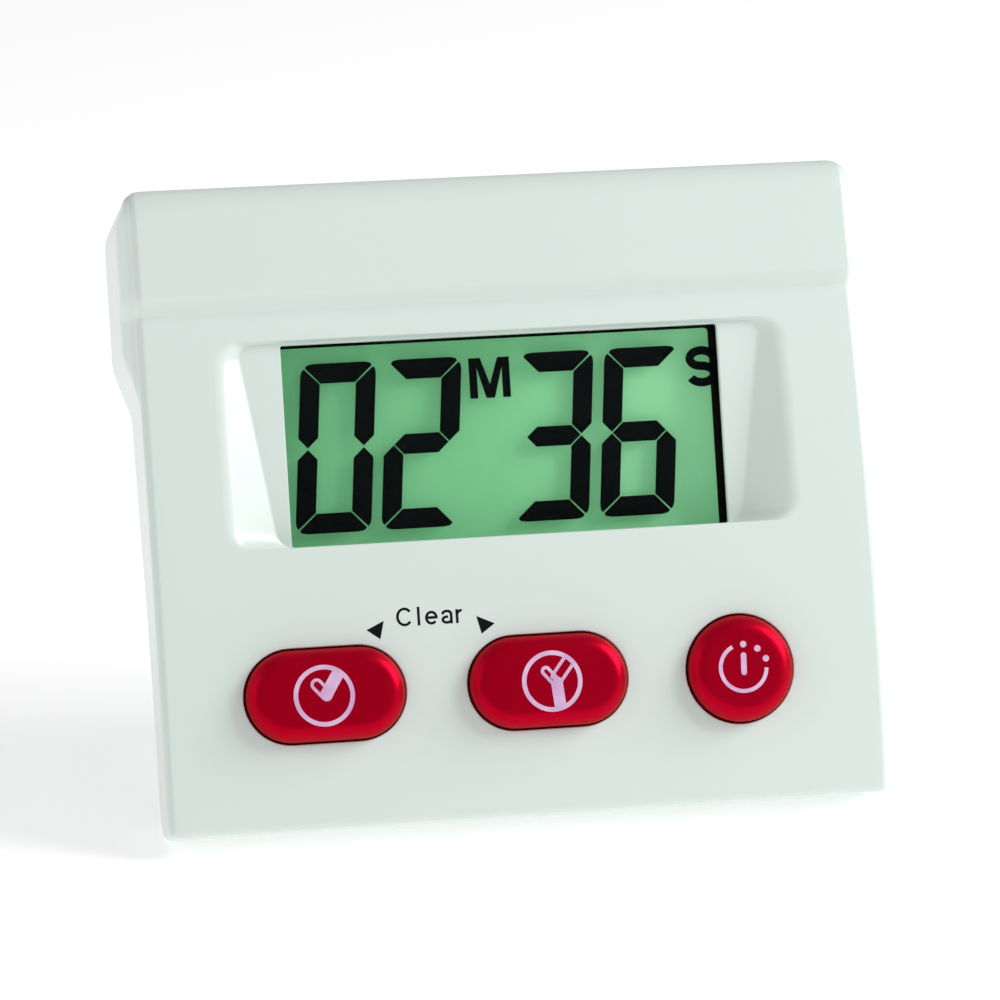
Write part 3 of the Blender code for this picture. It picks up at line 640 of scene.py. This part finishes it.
def button_tool(name):
    """Button hole whose mouth is rounded into the bowed front."""
    inner_end = 3.2
    loops = [[(x, TOOL_FRONT, z) for x, z in button_ring(name, BUTTON_SLOT + BUTTON_MOUTH)]]
    for i in range(6):
        a = radians(18 * i)
        ring = button_ring(name, BUTTON_SLOT + BUTTON_MOUTH * (1 - sin(a)))
        loops.append([(x, front_y(z) - SKIM + BUTTON_MOUTH * (1 - cos(a)), z) for x, z in ring])
    loops.append([(x, inner_end, z) for x, z in button_ring(name, BUTTON_SLOT)])
    return loft(loops)


def make_ribs():
    """Unions for the two upright ribs that close the ends of the battery compartment."""
    low, high, rear, shoulder = 49.2, 61.8, 13.6, 57.0
    reach = ROLL_BACK_RADIUS - WALL - GAP - 0.2
    tools = []
    for side in (-1, 1):
        rib = [(RIB_FRONT, low), (rear, low)]
        for a in steps(0, 80, 8):
            rib.append((THICK_DEPTH - ROLL_BACK_RADIUS + reach * cos(radians(a)),
                        HEIGHT - ROLL_BACK_RADIUS + reach * sin(radians(a))))
        rib += [(10.0, high), (5.0, high), (RIB_FRONT, shoulder)]
        tools.append(("UNION", prism_x(rib, side * RIB_X[0], side * RIB_X[1])))
    return tools


def make_bosses():
    """Unions for the screw bosses, then differences for their pilot holes."""
    case_boss, case_pilot, board_boss, board_pilot = 2.5, 1.1, 1.5, 0.9
    tools = []
    for x, z in SCREWS:
        tools.append(("UNION", peg(case_boss, -0.3, back_y(z, WALL) - 0.6, 32, x, z)))
    for x, z in BOARD_SCREWS:
        tools.append(("UNION", peg(board_boss, -0.27, BOARD[0] - GAP, 24, x, z)))
    for x, z in SCREWS:
        tools.append(("DIFFERENCE", peg(case_pilot, 1.6, 20.0, 24, x, z)))
    for x, z in BOARD_SCREWS:
        tools.append(("DIFFERENCE", peg(board_pilot, 1.4, 7.0, 20, x, z)))
    return tools


def make_front_casing():
    """Front shell: bowed plate, battery roll with its two ears, recess, bosses and ribs."""
    shell = mesh_object("front_shell", loft([case_ring(z) for z in case_heights()]))
    inner = HALF - WALL
    open_half = inner - HAIR
    open_z = (BOTTOM_WALL + HAIR, LID_TOP - 0.05)
    tools = [("DIFFERENCE", prism_x(side_profile(WALL, BOTTOM_WALL), -inner, inner)),
             ("DIFFERENCE", block((-open_half, open_half), (8.0, 20.0), open_z))]
    low, high, half, front, rear = 23.6, 49.3, 29.57, 0.03, LIP + GAP
    outline = [(front, low), (floor_y(low) + rear, low), (floor_y(high) + rear, high),
               (front, high)]
    tools.append(("UNION", prism_x(outline, -half, half)))
    tools += make_ribs() + make_bosses()
    low, high, half, rear = 24.4, 48.7, 25.3, 6.0
    seat = [(floor_y(low) + LIP, low), (rear, low), (rear, high), (floor_y(high) + LIP, high)]
    tools.append(("DIFFERENCE", prism_x(seat, -half, half)))
    tools += [("DIFFERENCE", window_tool()), ("DIFFERENCE", lcd_tool())]
    tools += [("DIFFERENCE", button_tool(name)) for name in BUTTONS]
    carve(shell, tools)
    finish_piece(shell, WHITE, "case", ["front_casing"])


def back_slice(name, half, z_low, z_high, inset):
    """Start of a piece of the back: a curved plate, and the tools that hollow and trim it."""
    seam_y = 8.2
    plate = mesh_object(name, prism_x(side_profile(0.0, 0.0), -half, half))
    wide = (-half - 3, half + 3)
    deep, below, above = (-5, 30), -5, 70
    tools = [("DIFFERENCE", prism_x(side_profile(inset, 0.5), *wide)),
             ("DIFFERENCE", block(wide, deep, (below, z_low))),
             ("DIFFERENCE", block(wide, deep, (z_high, above))),
             ("DIFFERENCE", block(wide, (below, seam_y), (below, above)))]
    return plate, tools


def make_back_casing():
    """Inset back shell with the stand's seat, magnet seats, screw wells and sound holes."""
    plate, tools = back_slice("back_shell", HALF - WALL - GAP, BOTTOM_WALL + GAP, LID_TOP - GAP,
                              WALL)
    beyond = 22
    low, high, half, inside = 28.5, 40.0, 19.5, 9.6
    hump = [(inside, low)] + [(back_y(z, 0.5), z) for z in steps(low, high, 8)] + [(inside, high)]
    tools.append(("UNION", prism_x(hump, -half, half)))
    tools.append(("UNION", peg(9.1, 7.2, 9.4, 48, *BUZZER)))
    tools.append(("DIFFERENCE", peg(8.3, 6.0, back_y(BUZZER[1]) - WALL, 48, *BUZZER)))
    x, z, radius, depth = MAGNET
    slope = (back_y(z + 0.1) - back_y(z - 0.1)) / 0.2
    for operation, profile in (("UNION", [(radius + 1.1, -depth - 1.8), (radius + 1.1, -0.8)]),
                               ("DIFFERENCE", [(radius + GAP, -depth - GAP), (radius + GAP, 3)])):
        for side in (-1, 1):
            tools.append((operation, tilted(turned_y(profile, 48), -atan(slope),
                                            (side * x, back_y(z), z))))
    reach = LEG_HALF[0] + GAP
    for y, heights in ((10.9, (33.3, 38.9)), (11.7, (24.0, 33.6))):
        tools.append(("DIFFERENCE", block((-reach, reach), (y, beyond), heights)))
    pin, pin_end = PIN_RADIUS + GAP, 18.3
    tools.append(("DIFFERENCE", turned_x([(pin, -pin_end), (pin, pin_end)], 24, *PIVOT)))
    door = DOOR_HALF + GAP
    tools.append(("DIFFERENCE", block((-door, door), (7.0, beyond), (DOOR_Z - GAP, 66))))
    shank, head = 1.2, 2.5
    for x, z in SCREWS:
        ledge = back_y(z) - 1.0
        well = [(shank, 5.0), (shank, ledge), (head, ledge + 0.0001), (head, 20.0)]
        tools.append(("DIFFERENCE", turned_y(well, 32, x, z)))
    for i in (-1, 0, 1):
        tools.append(("DIFFERENCE", peg(0.6, 8.0, 12.0, 20, BUZZER[0] + 3.0 * i, BUZZER[1])))
    carve(plate, tools)
    finish_piece(plate, WHITE_BACK, "case", ["back_casing"], bevel=0.12)


def make_battery_door():
    """Door over the cell, with a row of grip grooves."""
    door, tools = back_slice("battery_lid", DOOR_HALF, DOOR_Z, LID_TOP - GAP, WALL - 0.1)
    low, pitch, width, longest, depth = 50.9, 0.95, 0.5, 7, 0.45
    for i in range(4):
        z = low + pitch * i
        groove = block((-longest + i, longest - i), (THICK_DEPTH - depth, 20), (z, z + width))
        tools.append(("DIFFERENCE", groove))
    carve(door, tools)
    finish_piece(door, WHITE_BACK, "battery_door", ["battery_door"], bevel=0.12)


# ---- buttons, and the clock pictograms printed on them ----
ICON_RING = 2.74
ICON_LINE = 0.44
ICON_FRONT = BUTTON_TOP - 0.03
ICON_BACK = BUTTON_TOP + 0.01


def make_button(name):
    """Cap with a wide rolled edge and a nearly flat top, above a hidden flange."""
    flange_grow, crown_inset = 0.9, CAP_ROLL + 0.8
    loops = [[(x, y, z) for x, z in button_ring(name, flange_grow)] for y in reversed(FLANGE)]
    loops.append([(x, FLANGE[0] - 0.001, z) for x, z in button_ring(name, -CAP_TRIM)])
    for i in range(13):
        a = radians(7.5 * i)
        ring = button_ring(name, -CAP_TRIM - CAP_ROLL * (1 - cos(a) ** 0.9))
        y = BUTTON_TOP + CAP_DROP * (1 - sin(a) ** 1.15)
        loops.append([(x, y, z) for x, z in ring])
    loops.append([(x, BUTTON_TOP, z) for x, z in button_ring(name, -crown_inset)])
    cap = mesh_object(name + "_cap", loft(loops))
    finish_piece(cap, RED, name + "_button", [name + "_button"], smooth=50)


def stroke(points, width, rounded=True):
    """Outline of a straight stroke between two points, with square or round ends."""
    a, b = Vector(points[0]), Vector(points[1])
    along = (b - a).normalized()
    angle = atan2(along.y, along.x)
    radius = width / 2
    if not rounded:
        across = Vector((-along.y, along.x)) * radius
        return [a + across, a - across, b - across, b + across]
    outline = []
    for centre, start in ((a, angle + pi / 2), (b, angle - pi / 2)):
        for i in range(13):
            turn = start + pi * i / 12
            outline.append((centre.x + radius * cos(turn), centre.y + radius * sin(turn)))
    return outline


def ring_band(radius, width, start, sweep, cx=0.0, cz=0.0):
    """Outline of an arc of constant width."""
    count = int(sweep / 5)
    inner, outer = radius - width / 2, radius + width / 2
    angles = [radians(start + sweep * i / count) for i in range(count + 1)]
    outline = [(cx + outer * cos(a), cz + outer * sin(a)) for a in angles]
    outline += [(cx + inner * cos(a), cz + inner * sin(a)) for a in reversed(angles)]
    return outline


def shifted(outline, cx, cz):
    return [(x + cx, z + cz) for x, z in outline]


def polar(radius, degrees_from_up):
    a = radians(degrees_from_up)
    return radius * sin(a), radius * cos(a)


def annulus(name, cx, cz):
    """The icon's closed ring, as one clean loft round its own section."""
    count = 96
    inner, outer = ICON_RING - ICON_LINE / 2, ICON_RING + ICON_LINE / 2
    section = ((inner, ICON_FRONT), (outer, ICON_FRONT), (outer, ICON_BACK), (inner, ICON_BACK))
    bm = bmesh.new()
    rings = []
    for i in range(count):
        a = 2 * pi * i / count
        rings.append([bm.verts.new((cx + r * cos(a), y, cz + r * sin(a))) for r, y in section])
    for i in range(count):
        low, high = rings[i], rings[(i + 1) % count]
        for k in range(4):
            j = (k + 1) % 4
            bm.faces.new((low[k], low[j], high[j], high[k]))
    return mesh_object(name, bm)


def ringed_icon(button, cx, cz, outlines):
    """Ring with thin outlines joined to it, each a hair deeper, so that no faces coincide."""
    icon = annulus(button + "_icon", cx, cz)
    tools = []
    for i, outline in enumerate(outlines, 1):
        step = DEEPER * i
        tools.append(("UNION", prism_y(shifted(outline, cx, cz), ICON_FRONT + step,
                                       ICON_BACK + step)))
    carve(icon, tools)
    finish_piece(icon, INK, button + "_button")


def looped_stroke(points, width, line):
    """Outlines that draw a hollow, round-ended hand: two sides and a round tip."""
    a, b = Vector(points[0]), Vector(points[1])
    along = (b - a).normalized()
    across = Vector((-along.y, along.x)) * (width - line) / 2
    sides = [stroke((a + across, b + across), line), stroke((a - across, b - across), line)]
    angle = atan2(along.y, along.x)
    start = angle * 180 / pi - 90
    sides.append(ring_band((width - line) / 2, line, start, 180.0, b.x, b.y))
    return sides


def make_minute_icon(cx, cz):
    """One broad hand from the ring, with a hollow hand beside it."""
    outlines = [stroke((polar(ICON_RING, 35.0), (0.12, -0.02)), 1.2, rounded=False),
                stroke(((0.24, 0.0), (0.36, 0.2)), 1.1)]
    outlines += looped_stroke(((0.2, 0.1), polar(1.28, -31.0)), 1.2, 0.3)
    ringed_icon("minute", cx, cz, outlines)


def make_second_icon(cx, cz):
    """A hand that splits in two above the middle, with a hollow hand beside it."""
    outlines = [stroke(((0.42, 0.1), polar(ICON_RING, 166.0)), 1.15, rounded=False)]
    direction = Vector(polar(1.0, 43.0))
    side = Vector((direction.y, -direction.x))
    for offset, reach in ((-0.52, 2.72), (0.52, 2.62)):
        foot = Vector((0.42, 0.2)) + side * offset
        tip = direction * reach + side * offset
        outlines.append(stroke((foot, tip), 0.32, rounded=False))
    outlines.append(stroke(((0.1, 0.42), (0.85, -0.02)), 0.5))
    outlines += looped_stroke(((0.2, 0.1), polar(1.15, -29.0)), 1.0, 0.32)
    ringed_icon("second", cx, cz, outlines)


def make_start_icon(cx, cz):
    """An open ring completed by three dots, round a short bar."""
    dot = 0.32
    outlines = {"start_arc": ring_band(2.27, 0.38, 115.0, 242.0),
                "start_bar": stroke(((0.08, 1.2), (0.02, -0.45)), 0.55)}
    for i, (x, z) in enumerate(((0.12, 2.27), (1.5, 1.78), (2.27, 0.77)), 1):
        outlines["start_dot_%d" % i] = circle(dot, 32, x, z)
    for name, outline in outlines.items():
        piece = mesh_object(name, prism_y(shifted(outline, cx, cz), ICON_FRONT, ICON_BACK))
        finish_piece(piece, INK, "start_button")


def make_icons():
    """The three pictograms, each a little off the middle of its cap."""
    make_minute_icon(BUTTONS["minute"][0] - 0.35, BUTTON_Z - 0.14)
    make_second_icon(BUTTONS["second"][0] + 0.07, BUTTON_Z - 0.13)
    make_start_icon(BUTTONS["start"][0] - 0.03, BUTTON_Z)


# ---- printed label on the case ----
LABEL_BASE = 18.98
CAP_HEIGHT = 1.8
LOW_HEIGHT = 1.34
LABEL_LINE = 0.25
LABEL_LIFT = 0.015
ARROWS = {"left": ((-15.32, 18.83), (-13.6, 19.62), (-14.04, 17.88)),
          "right": ((-4.55, 19.55), (-2.8, 18.74), (-4.13, 17.81))}


def band(path, width):
    """Outline of a line of constant width that follows a path."""
    left, right = [], []
    for i, (x, z) in enumerate(path):
        before, after = path[max(i - 1, 0)], path[min(i + 1, len(path) - 1)]
        along = Vector((after[0] - before[0], after[1] - before[1])).normalized()
        left.append((x - along.y * width / 2, z + along.x * width / 2))
        right.append((x + along.y * width / 2, z - along.x * width / 2))
    return left + right[::-1]


def bowl(cx, cz, half_x, half_z, start, end):
    """Points of an elliptical arc from one angle to another."""
    return [(cx + half_x * cos(radians(a)), cz + half_z * sin(radians(a)))
            for a in steps(start, end, 24)]


def label_letters():
    """Plain sans letters as lists of bands, each in the label's own place."""
    half = LABEL_LINE / 2
    middle = LOW_HEIGHT / 2
    return {
        "c": [bowl(-11.56, CAP_HEIGHT / 2, 0.68, CAP_HEIGHT / 2 - half, 38, 322)],
        "l": [[(-10.18, 0.0), (-10.18, CAP_HEIGHT)]],
        "e": [bowl(-8.94, middle, 0.49, middle - half, 0, 318),
              [(-9.4, middle + 0.02), (-8.33, middle + 0.02)]],
        "a": [[(-7.86, 0.93)] + bowl(-7.42, 0.93, 0.42, 0.3, 150, 0) + [(-7.0, 0.0)],
              bowl(-7.42, 0.4, 0.42, 0.28, 75, 330)],
        "r": [[(-6.43, 0.0), (-6.43, LOW_HEIGHT)], bowl(-5.95, 0.8, 0.46, 0.42, 170, 88)],
    }


def print_on_front(outline, lift):
    """Thin layer of ink on the bowed plate, standing lift proud of it."""
    bm = prism_y(outline, -0.5, 0.5)
    for v in bm.verts:
        y = front_y(v.co.z)
        v.co.y = y - lift if v.co.y < 0 else y + HAIR
    return bm


def make_label():
    """The word over the two long buttons, and the arrow on each side of it."""
    for name, paths in label_letters().items():
        solids = []
        for i, path in enumerate(paths):
            placed = [(x, LABEL_BASE + z) for x, z in path]
            solids.append(print_on_front(band(placed, LABEL_LINE), LABEL_LIFT + DEEPER * i))
        letter = mesh_object("clear_" + name, solids[0])
        carve(letter, [("UNION", solid) for solid in solids[1:]])
        finish_piece(letter, BLACK_INK, "case")
    for side, corners in ARROWS.items():
        arrow = mesh_object("clear_arrow_" + side, print_on_front(corners, LABEL_LIFT))
        finish_piece(arrow, BLACK_INK, "case")


# ---- display ----
DIGIT_HEIGHT = 16.5
DIGIT_WIDTH = 7.45
DIGIT_BASE = 28.7
DIGIT_SLANT = tan(radians(5.2))
BAR = 1.95
BAR_GAP = 0.075
INK_DEPTH = 2.06
INK_THICKNESS = 0.03
DISPLAY_HALF = 25.0
DISPLAY_CORNER = 0.4
SEGMENTS = {"0": "abcdef", "2": "abged", "3": "abgcd", "6": "afgedc"}
DIGITS = (("tens_of_minutes", "0", -20.95), ("minutes", "2", -12.5),
          ("tens_of_seconds", "3", 0.65), ("seconds", "6", 9.2))


def segment_outline(letter):
    """One bar of a digit: mitred ends, rounded outer corners; u across, v up from the base."""
    w, h, b, gap = DIGIT_WIDTH, DIGIT_HEIGHT, BAR, BAR_GAP
    m = h / 2
    if letter == "g":
        point = 0.98 + gap
        return [(point, m), (b + gap, m + b / 2), (w - b - gap, m + b / 2),
                (w - point, m), (w - b - gap, m - b / 2), (b + gap, m - b / 2)]
    v, s = (h, -1) if letter in "abf" else (0.0, 1)
    if letter in "ad":
        rounded = [(0.35 + gap, 0.38), (0.62, 0.12), (1.2, 0.0)]
        rounded += [(w - u, depth) for u, depth in reversed(rounded)]
        outline = [(u, v + s * depth) for u, depth in rounded]
        return outline + [(w - b - gap, v + s * b), (b + gap, v + s * b)]
    outline = [(0.3, v + s * (0.42 + gap)), (b, v + s * (b + gap)), (b, m - s * (gap + b / 2)),
               (b / 2, m - s * gap), (0.0, m - s * (gap + b / 2)), (0.0, v + s * 1.2),
               (0.1, v + s * 0.72)]
    if letter in "bc":
        outline = [(w - u, q) for u, q in outline]
    return outline


def letter_m():
    """Heavy M: two posts and a V between them."""
    left, right, low, high, post = -2.93, 1.11, 41.0, 44.95, 0.78
    shoulder, crotch, point, inner_high = 1.16, 1.35, 0.42, 2.95
    middle = (left + right) / 2
    return [(left, low), (left, high), (left + shoulder, high), (middle, low + crotch),
            (right - shoulder, high), (right, high), (right, low), (right - post, low),
            (right - post, low + inner_high), (middle + point, low), (middle - point, low),
            (left + post, low + inner_high), (left + post, low)]


def letter_s():
    """Heavy S: a band along two joined bowls, the upper one a little smaller."""
    cx, low, high, width, half = 20.33, 41.0, 44.98, 0.84, 1.63
    reach = half - width / 2
    total = (high - low - width) / 2
    upper, lower = total * 0.485, total * 0.515
    path = bowl(cx, high - width / 2 - upper, reach * 0.96, upper, 22, 258)
    path += bowl(cx, low + width / 2 + lower, reach, lower, 78, -158)
    return band(path, width)


def sheet_in_display(outline, depth, thickness):
    """Thin sheet of an outline, parallel to the recess floor and depth behind it."""
    bm = prism_y(outline, -0.5, 0.5)
    for v in bm.verts:
        offset = depth if v.co.y < 0 else depth + thickness
        v.co.y = floor_y(v.co.z) + offset
    return bm


def make_digits():
    """Digits and unit letters between the two glasses."""
    outlines = {}
    for name, digit, left in DIGITS:
        for letter in SEGMENTS[digit]:
            outlines[name + "_" + letter] = [(left + u + v * DIGIT_SLANT, DIGIT_BASE + v)
                                             for u, v in segment_outline(letter)]
    outlines["unit_m"] = letter_m()
    outlines["unit_s"] = letter_s()
    for name, outline in outlines.items():
        ink = mesh_object(name, sheet_in_display(outline, INK_DEPTH, INK_THICKNESS))
        finish_piece(ink, SEGMENT, "case")


def display_layer(name, front, thickness, z, mat, node):
    """Flat layer of the display: front is the depth of its front face behind the recess floor."""
    ring = rounded_rect(DISPLAY_HALF, z[0], z[1], DISPLAY_CORNER, 4)
    loops = [[(x, floor_y(q) + y, q) for x, q in ring] for y in (front, front + thickness)]
    finish_piece(mesh_object(name, loft(loops)), mat, "case", [node], bevel=0.04)


def make_display():
    """Polarizer, two glasses, reflector, and the black mask printed round the green field, which
    also serves as painted shadow along its top and right.
    """
    display_layer("polarizer", LIP + GAP, 0.25, (26.6, 47.9), FILM,
                  "lcd_front_polarizer")
    display_layer("front_glass", 1.15, 0.9, (24.7, 48.4), GLASS, "lcd_front_glass")
    display_layer("rear_glass", 2.15, 0.9, (27.2, 48.4), GLASS, "lcd_rear_glass")
    display_layer("reflector", 3.15, 0.25, (27.4, 48.2), display_material(),
                  "lcd_reflector")
    # The mask's opening is shifted 0.15 mm left, so black shows along the right of the green:
    # partly border, partly painted shadow.
    outer = rounded_rect(DISPLAY_HALF, 24.6, 48.6, DISPLAY_CORNER, 4)
    inner = rounded_rect(LCD_HALF - 0.1, LCD_Z[0] - 0.6, LCD_Z[1] - 0.02, DISPLAY_CORNER, 4,
                         cx=-0.15)
    mask = mesh_object("display_mask_and_shadow", sheet_in_display(outer, 3.06, 0.05))
    carve(mask, [("DIFFERENCE", sheet_in_display(inner, 2.9, 0.5))])
    finish_piece(mask, MASK_AND_SHADOW, "case")


# ---- stand, screws and inner pieces ----
def make_stand():
    """Fold-out leg round its pin, with an eased outline and a finger dish near the foot."""
    height = HINGE.z / MM
    from_vertical = sqrt(max(1 - (height / LEG_LENGTH) ** 2, 0))
    angle = atan2(from_vertical, height / LEG_LENGTH)
    place = Matrix.Translation(HINGE) @ Matrix.Rotation(angle, 4, "X") @ Matrix.Scale(MM, 4)
    top, foot = LEG_HALF
    high, taper_start, corner, barrel, pin = -0.6, -12.0, 2.0, 2.0, PIN_RADIUS + GAP
    loops = []
    for y in (-LEG_THICKNESS / 2, LEG_THICKNESS / 2):
        end = -(height + y * sin(angle)) / cos(angle)
        z = end + corner
        outline = [(-top, high), (-top, taper_start), (-foot, z)]
        outline += [(-foot + corner - corner * cos(radians(a)), z - corner * sin(radians(a)))
                    for a in range(15, 91, 15)]
        outline += [(foot - corner + corner * sin(radians(a)), z - corner * cos(radians(a)))
                    for a in range(0, 76, 15)]
        outline += [(foot, z), (top, taper_start), (top, high)]
        loops.append([(x, y, q) for x, q in outline])
    leg = mesh_object("stand", loft(loops), place)
    panel = prism_y(rounded_rect(9.0, -19.0, -6.0, 2.0, 8), 0.5, 3.0)
    carve(leg, [("UNION", turned_x([(barrel, -top), (barrel, top)], 40)),
                ("DIFFERENCE", turned_x([(pin, -20), (pin, 20)], 32)),
                ("DIFFERENCE", dish(14.0, 6.0, -27.0)),
                ("DIFFERENCE", panel)], place)
    finish_piece(leg, WHITE_BACK, "stand", ["stand_leg"], bevel=0.15)


def dish(width, height, z):
    """Shallow lens-shaped tool on the leg's back face."""
    face, depth, outside = 1.11, 0.8, 3.0
    loops = []
    for i in range(8):
        a = radians(12 * i)
        half_x, half_z = width / 2 * cos(a), height / 2 * cos(a)
        ring = rounded_rect(half_x + 0.3, z - half_z - 0.2, z + half_z + 0.2, half_z + 0.15, 8)
        loops.append([(x, face - depth * sin(a), q) for x, q in ring])
    loops.insert(0, [(x, outside, q) for x, _, q in loops[0]])
    return loft(loops)


def repaint(nodes, mat):
    """Give carried-over CAD nodes a full material and softened edges."""
    for name in nodes:
        obj = frame["nodes"][name]
        obj.data.materials.clear()
        obj.data.materials.append(mat)
        soften(obj, 0.06)


def dress_inner_pieces():
    """Finish the CAD's own pieces, most of which are inside."""
    repaint(["stand_pin", "positive_contact", "negative_contact", "battery_spring",
             "quartz_crystal"], STEEL)
    repaint(["case_screw_%d" % i for i in (1, 2, 3, 4)] + ["board_screw_1", "board_screw_2"],
            ZINC)
    repaint(["magnet_left", "magnet_right"], NICKEL)
    repaint(["%s_key_stub" % name for name in BUTTONS] + ["keypad_mat", "zebra_connector"],
            SILICONE)
    repaint(["%s_contact_pill" % name for name in BUTTONS], CARBON)
    repaint(["circuit_board"], BOARD_GREEN)
    repaint(["chip_blob"], EPOXY)
    repaint(["capacitor_1", "capacitor_2", "buzzer_ceramic"], CERAMIC)
    repaint(["buzzer_disc"], BRASS)
    repaint(["battery_cell"], JACKET)
    repaint(["lcd_holder"], HOLDER)
    repaint(["positive_wire"], RED_WIRE)
    repaint(["negative_wire"], BLACK_WIRE)


# ---- stage, light and camera ----
def make_floor():
    """Plain pale floor that glows a little, so that it stays nearly white under soft light."""
    bm = bmesh.new()
    bmesh.ops.create_grid(bm, x_segments=1, y_segments=1, size=4.0)
    floor = mesh_object("floor", bm, Matrix.Identity(4))
    mat, _, shader = new_material("floor")
    preset(shader, {"Base Color": (0.8, 0.8, 0.8, 1), "Roughness": 0.9, "Specular IOR Level": 0.1,
                    "Emission Color": (1, 1, 1, 1), "Emission Strength": 0.45})
    floor.data.materials.append(mat)


def area_light(name, spot, side, power):
    """Square lamp aimed at the middle of the timer."""
    data = bpy.data.lights.new(name, "AREA")
    data.shape = "SQUARE"
    data.size = side
    data.energy = power
    lamp = add_object(name, data)
    lamp.location = spot
    middle = Vector((0, 0, 0.03))
    lamp.rotation_euler = (middle - Vector(spot)).to_track_quat("-Z", "Y").to_euler()


def make_light():
    """White surroundings, a strong lamp at the upper right and a weak one at the left."""
    world = bpy.data.worlds.new("studio")
    bpy.context.scene.world = world
    world.use_nodes = True
    preset(world.node_tree.nodes["Background"], {"Color": (1, 1, 1, 1), "Strength": 0.4})
    area_light("key_right", (0.55, -0.17, 0.40), 0.35, 3.7)
    area_light("fill_left", (-0.6, -0.14, 0.28), 0.5, 0.75)


def make_camera():
    """Seen a little from the left and from just under the plate's own normal."""
    yaw, pitch, roll = radians(9.923), radians(-4.195), radians(-4.006)
    distance, sensor, lens = 484.2, 36.0, 179.5
    target = Vector((-1.196, 0.0, 30.732))
    back = Vector((-sin(yaw) * cos(pitch), -cos(yaw) * cos(pitch), sin(pitch)))
    right = (-back).cross(Vector((0, 0, 1))).normalized()
    up = right.cross(-back)
    tilted_right = right * cos(roll) + up * sin(roll)
    tilted_up = -right * sin(roll) + up * cos(roll)
    turn = Matrix((tilted_right, tilted_up, back)).transposed().to_4x4()
    data = bpy.data.cameras.new("camera")
    data.lens = lens
    data.sensor_width = sensor
    data.clip_start = 0.01
    camera = add_object("camera", data)
    camera.matrix_world = Matrix.Translation(CASE @ (target + back * distance)) @ TURN @ turn
    bpy.context.scene.camera = camera


make_camera()
make_floor()
make_light()
make_front_casing()
make_back_casing()
make_battery_door()
for button in BUTTONS:
    make_button(button)
make_icons()
make_label()
make_digits()
make_display()
make_stand()
dress_inner_pieces()

bpy.context.scene.view_settings.view_transform = "Standard"
bpy.context.scene.cycles.transparent_max_bounces = 32
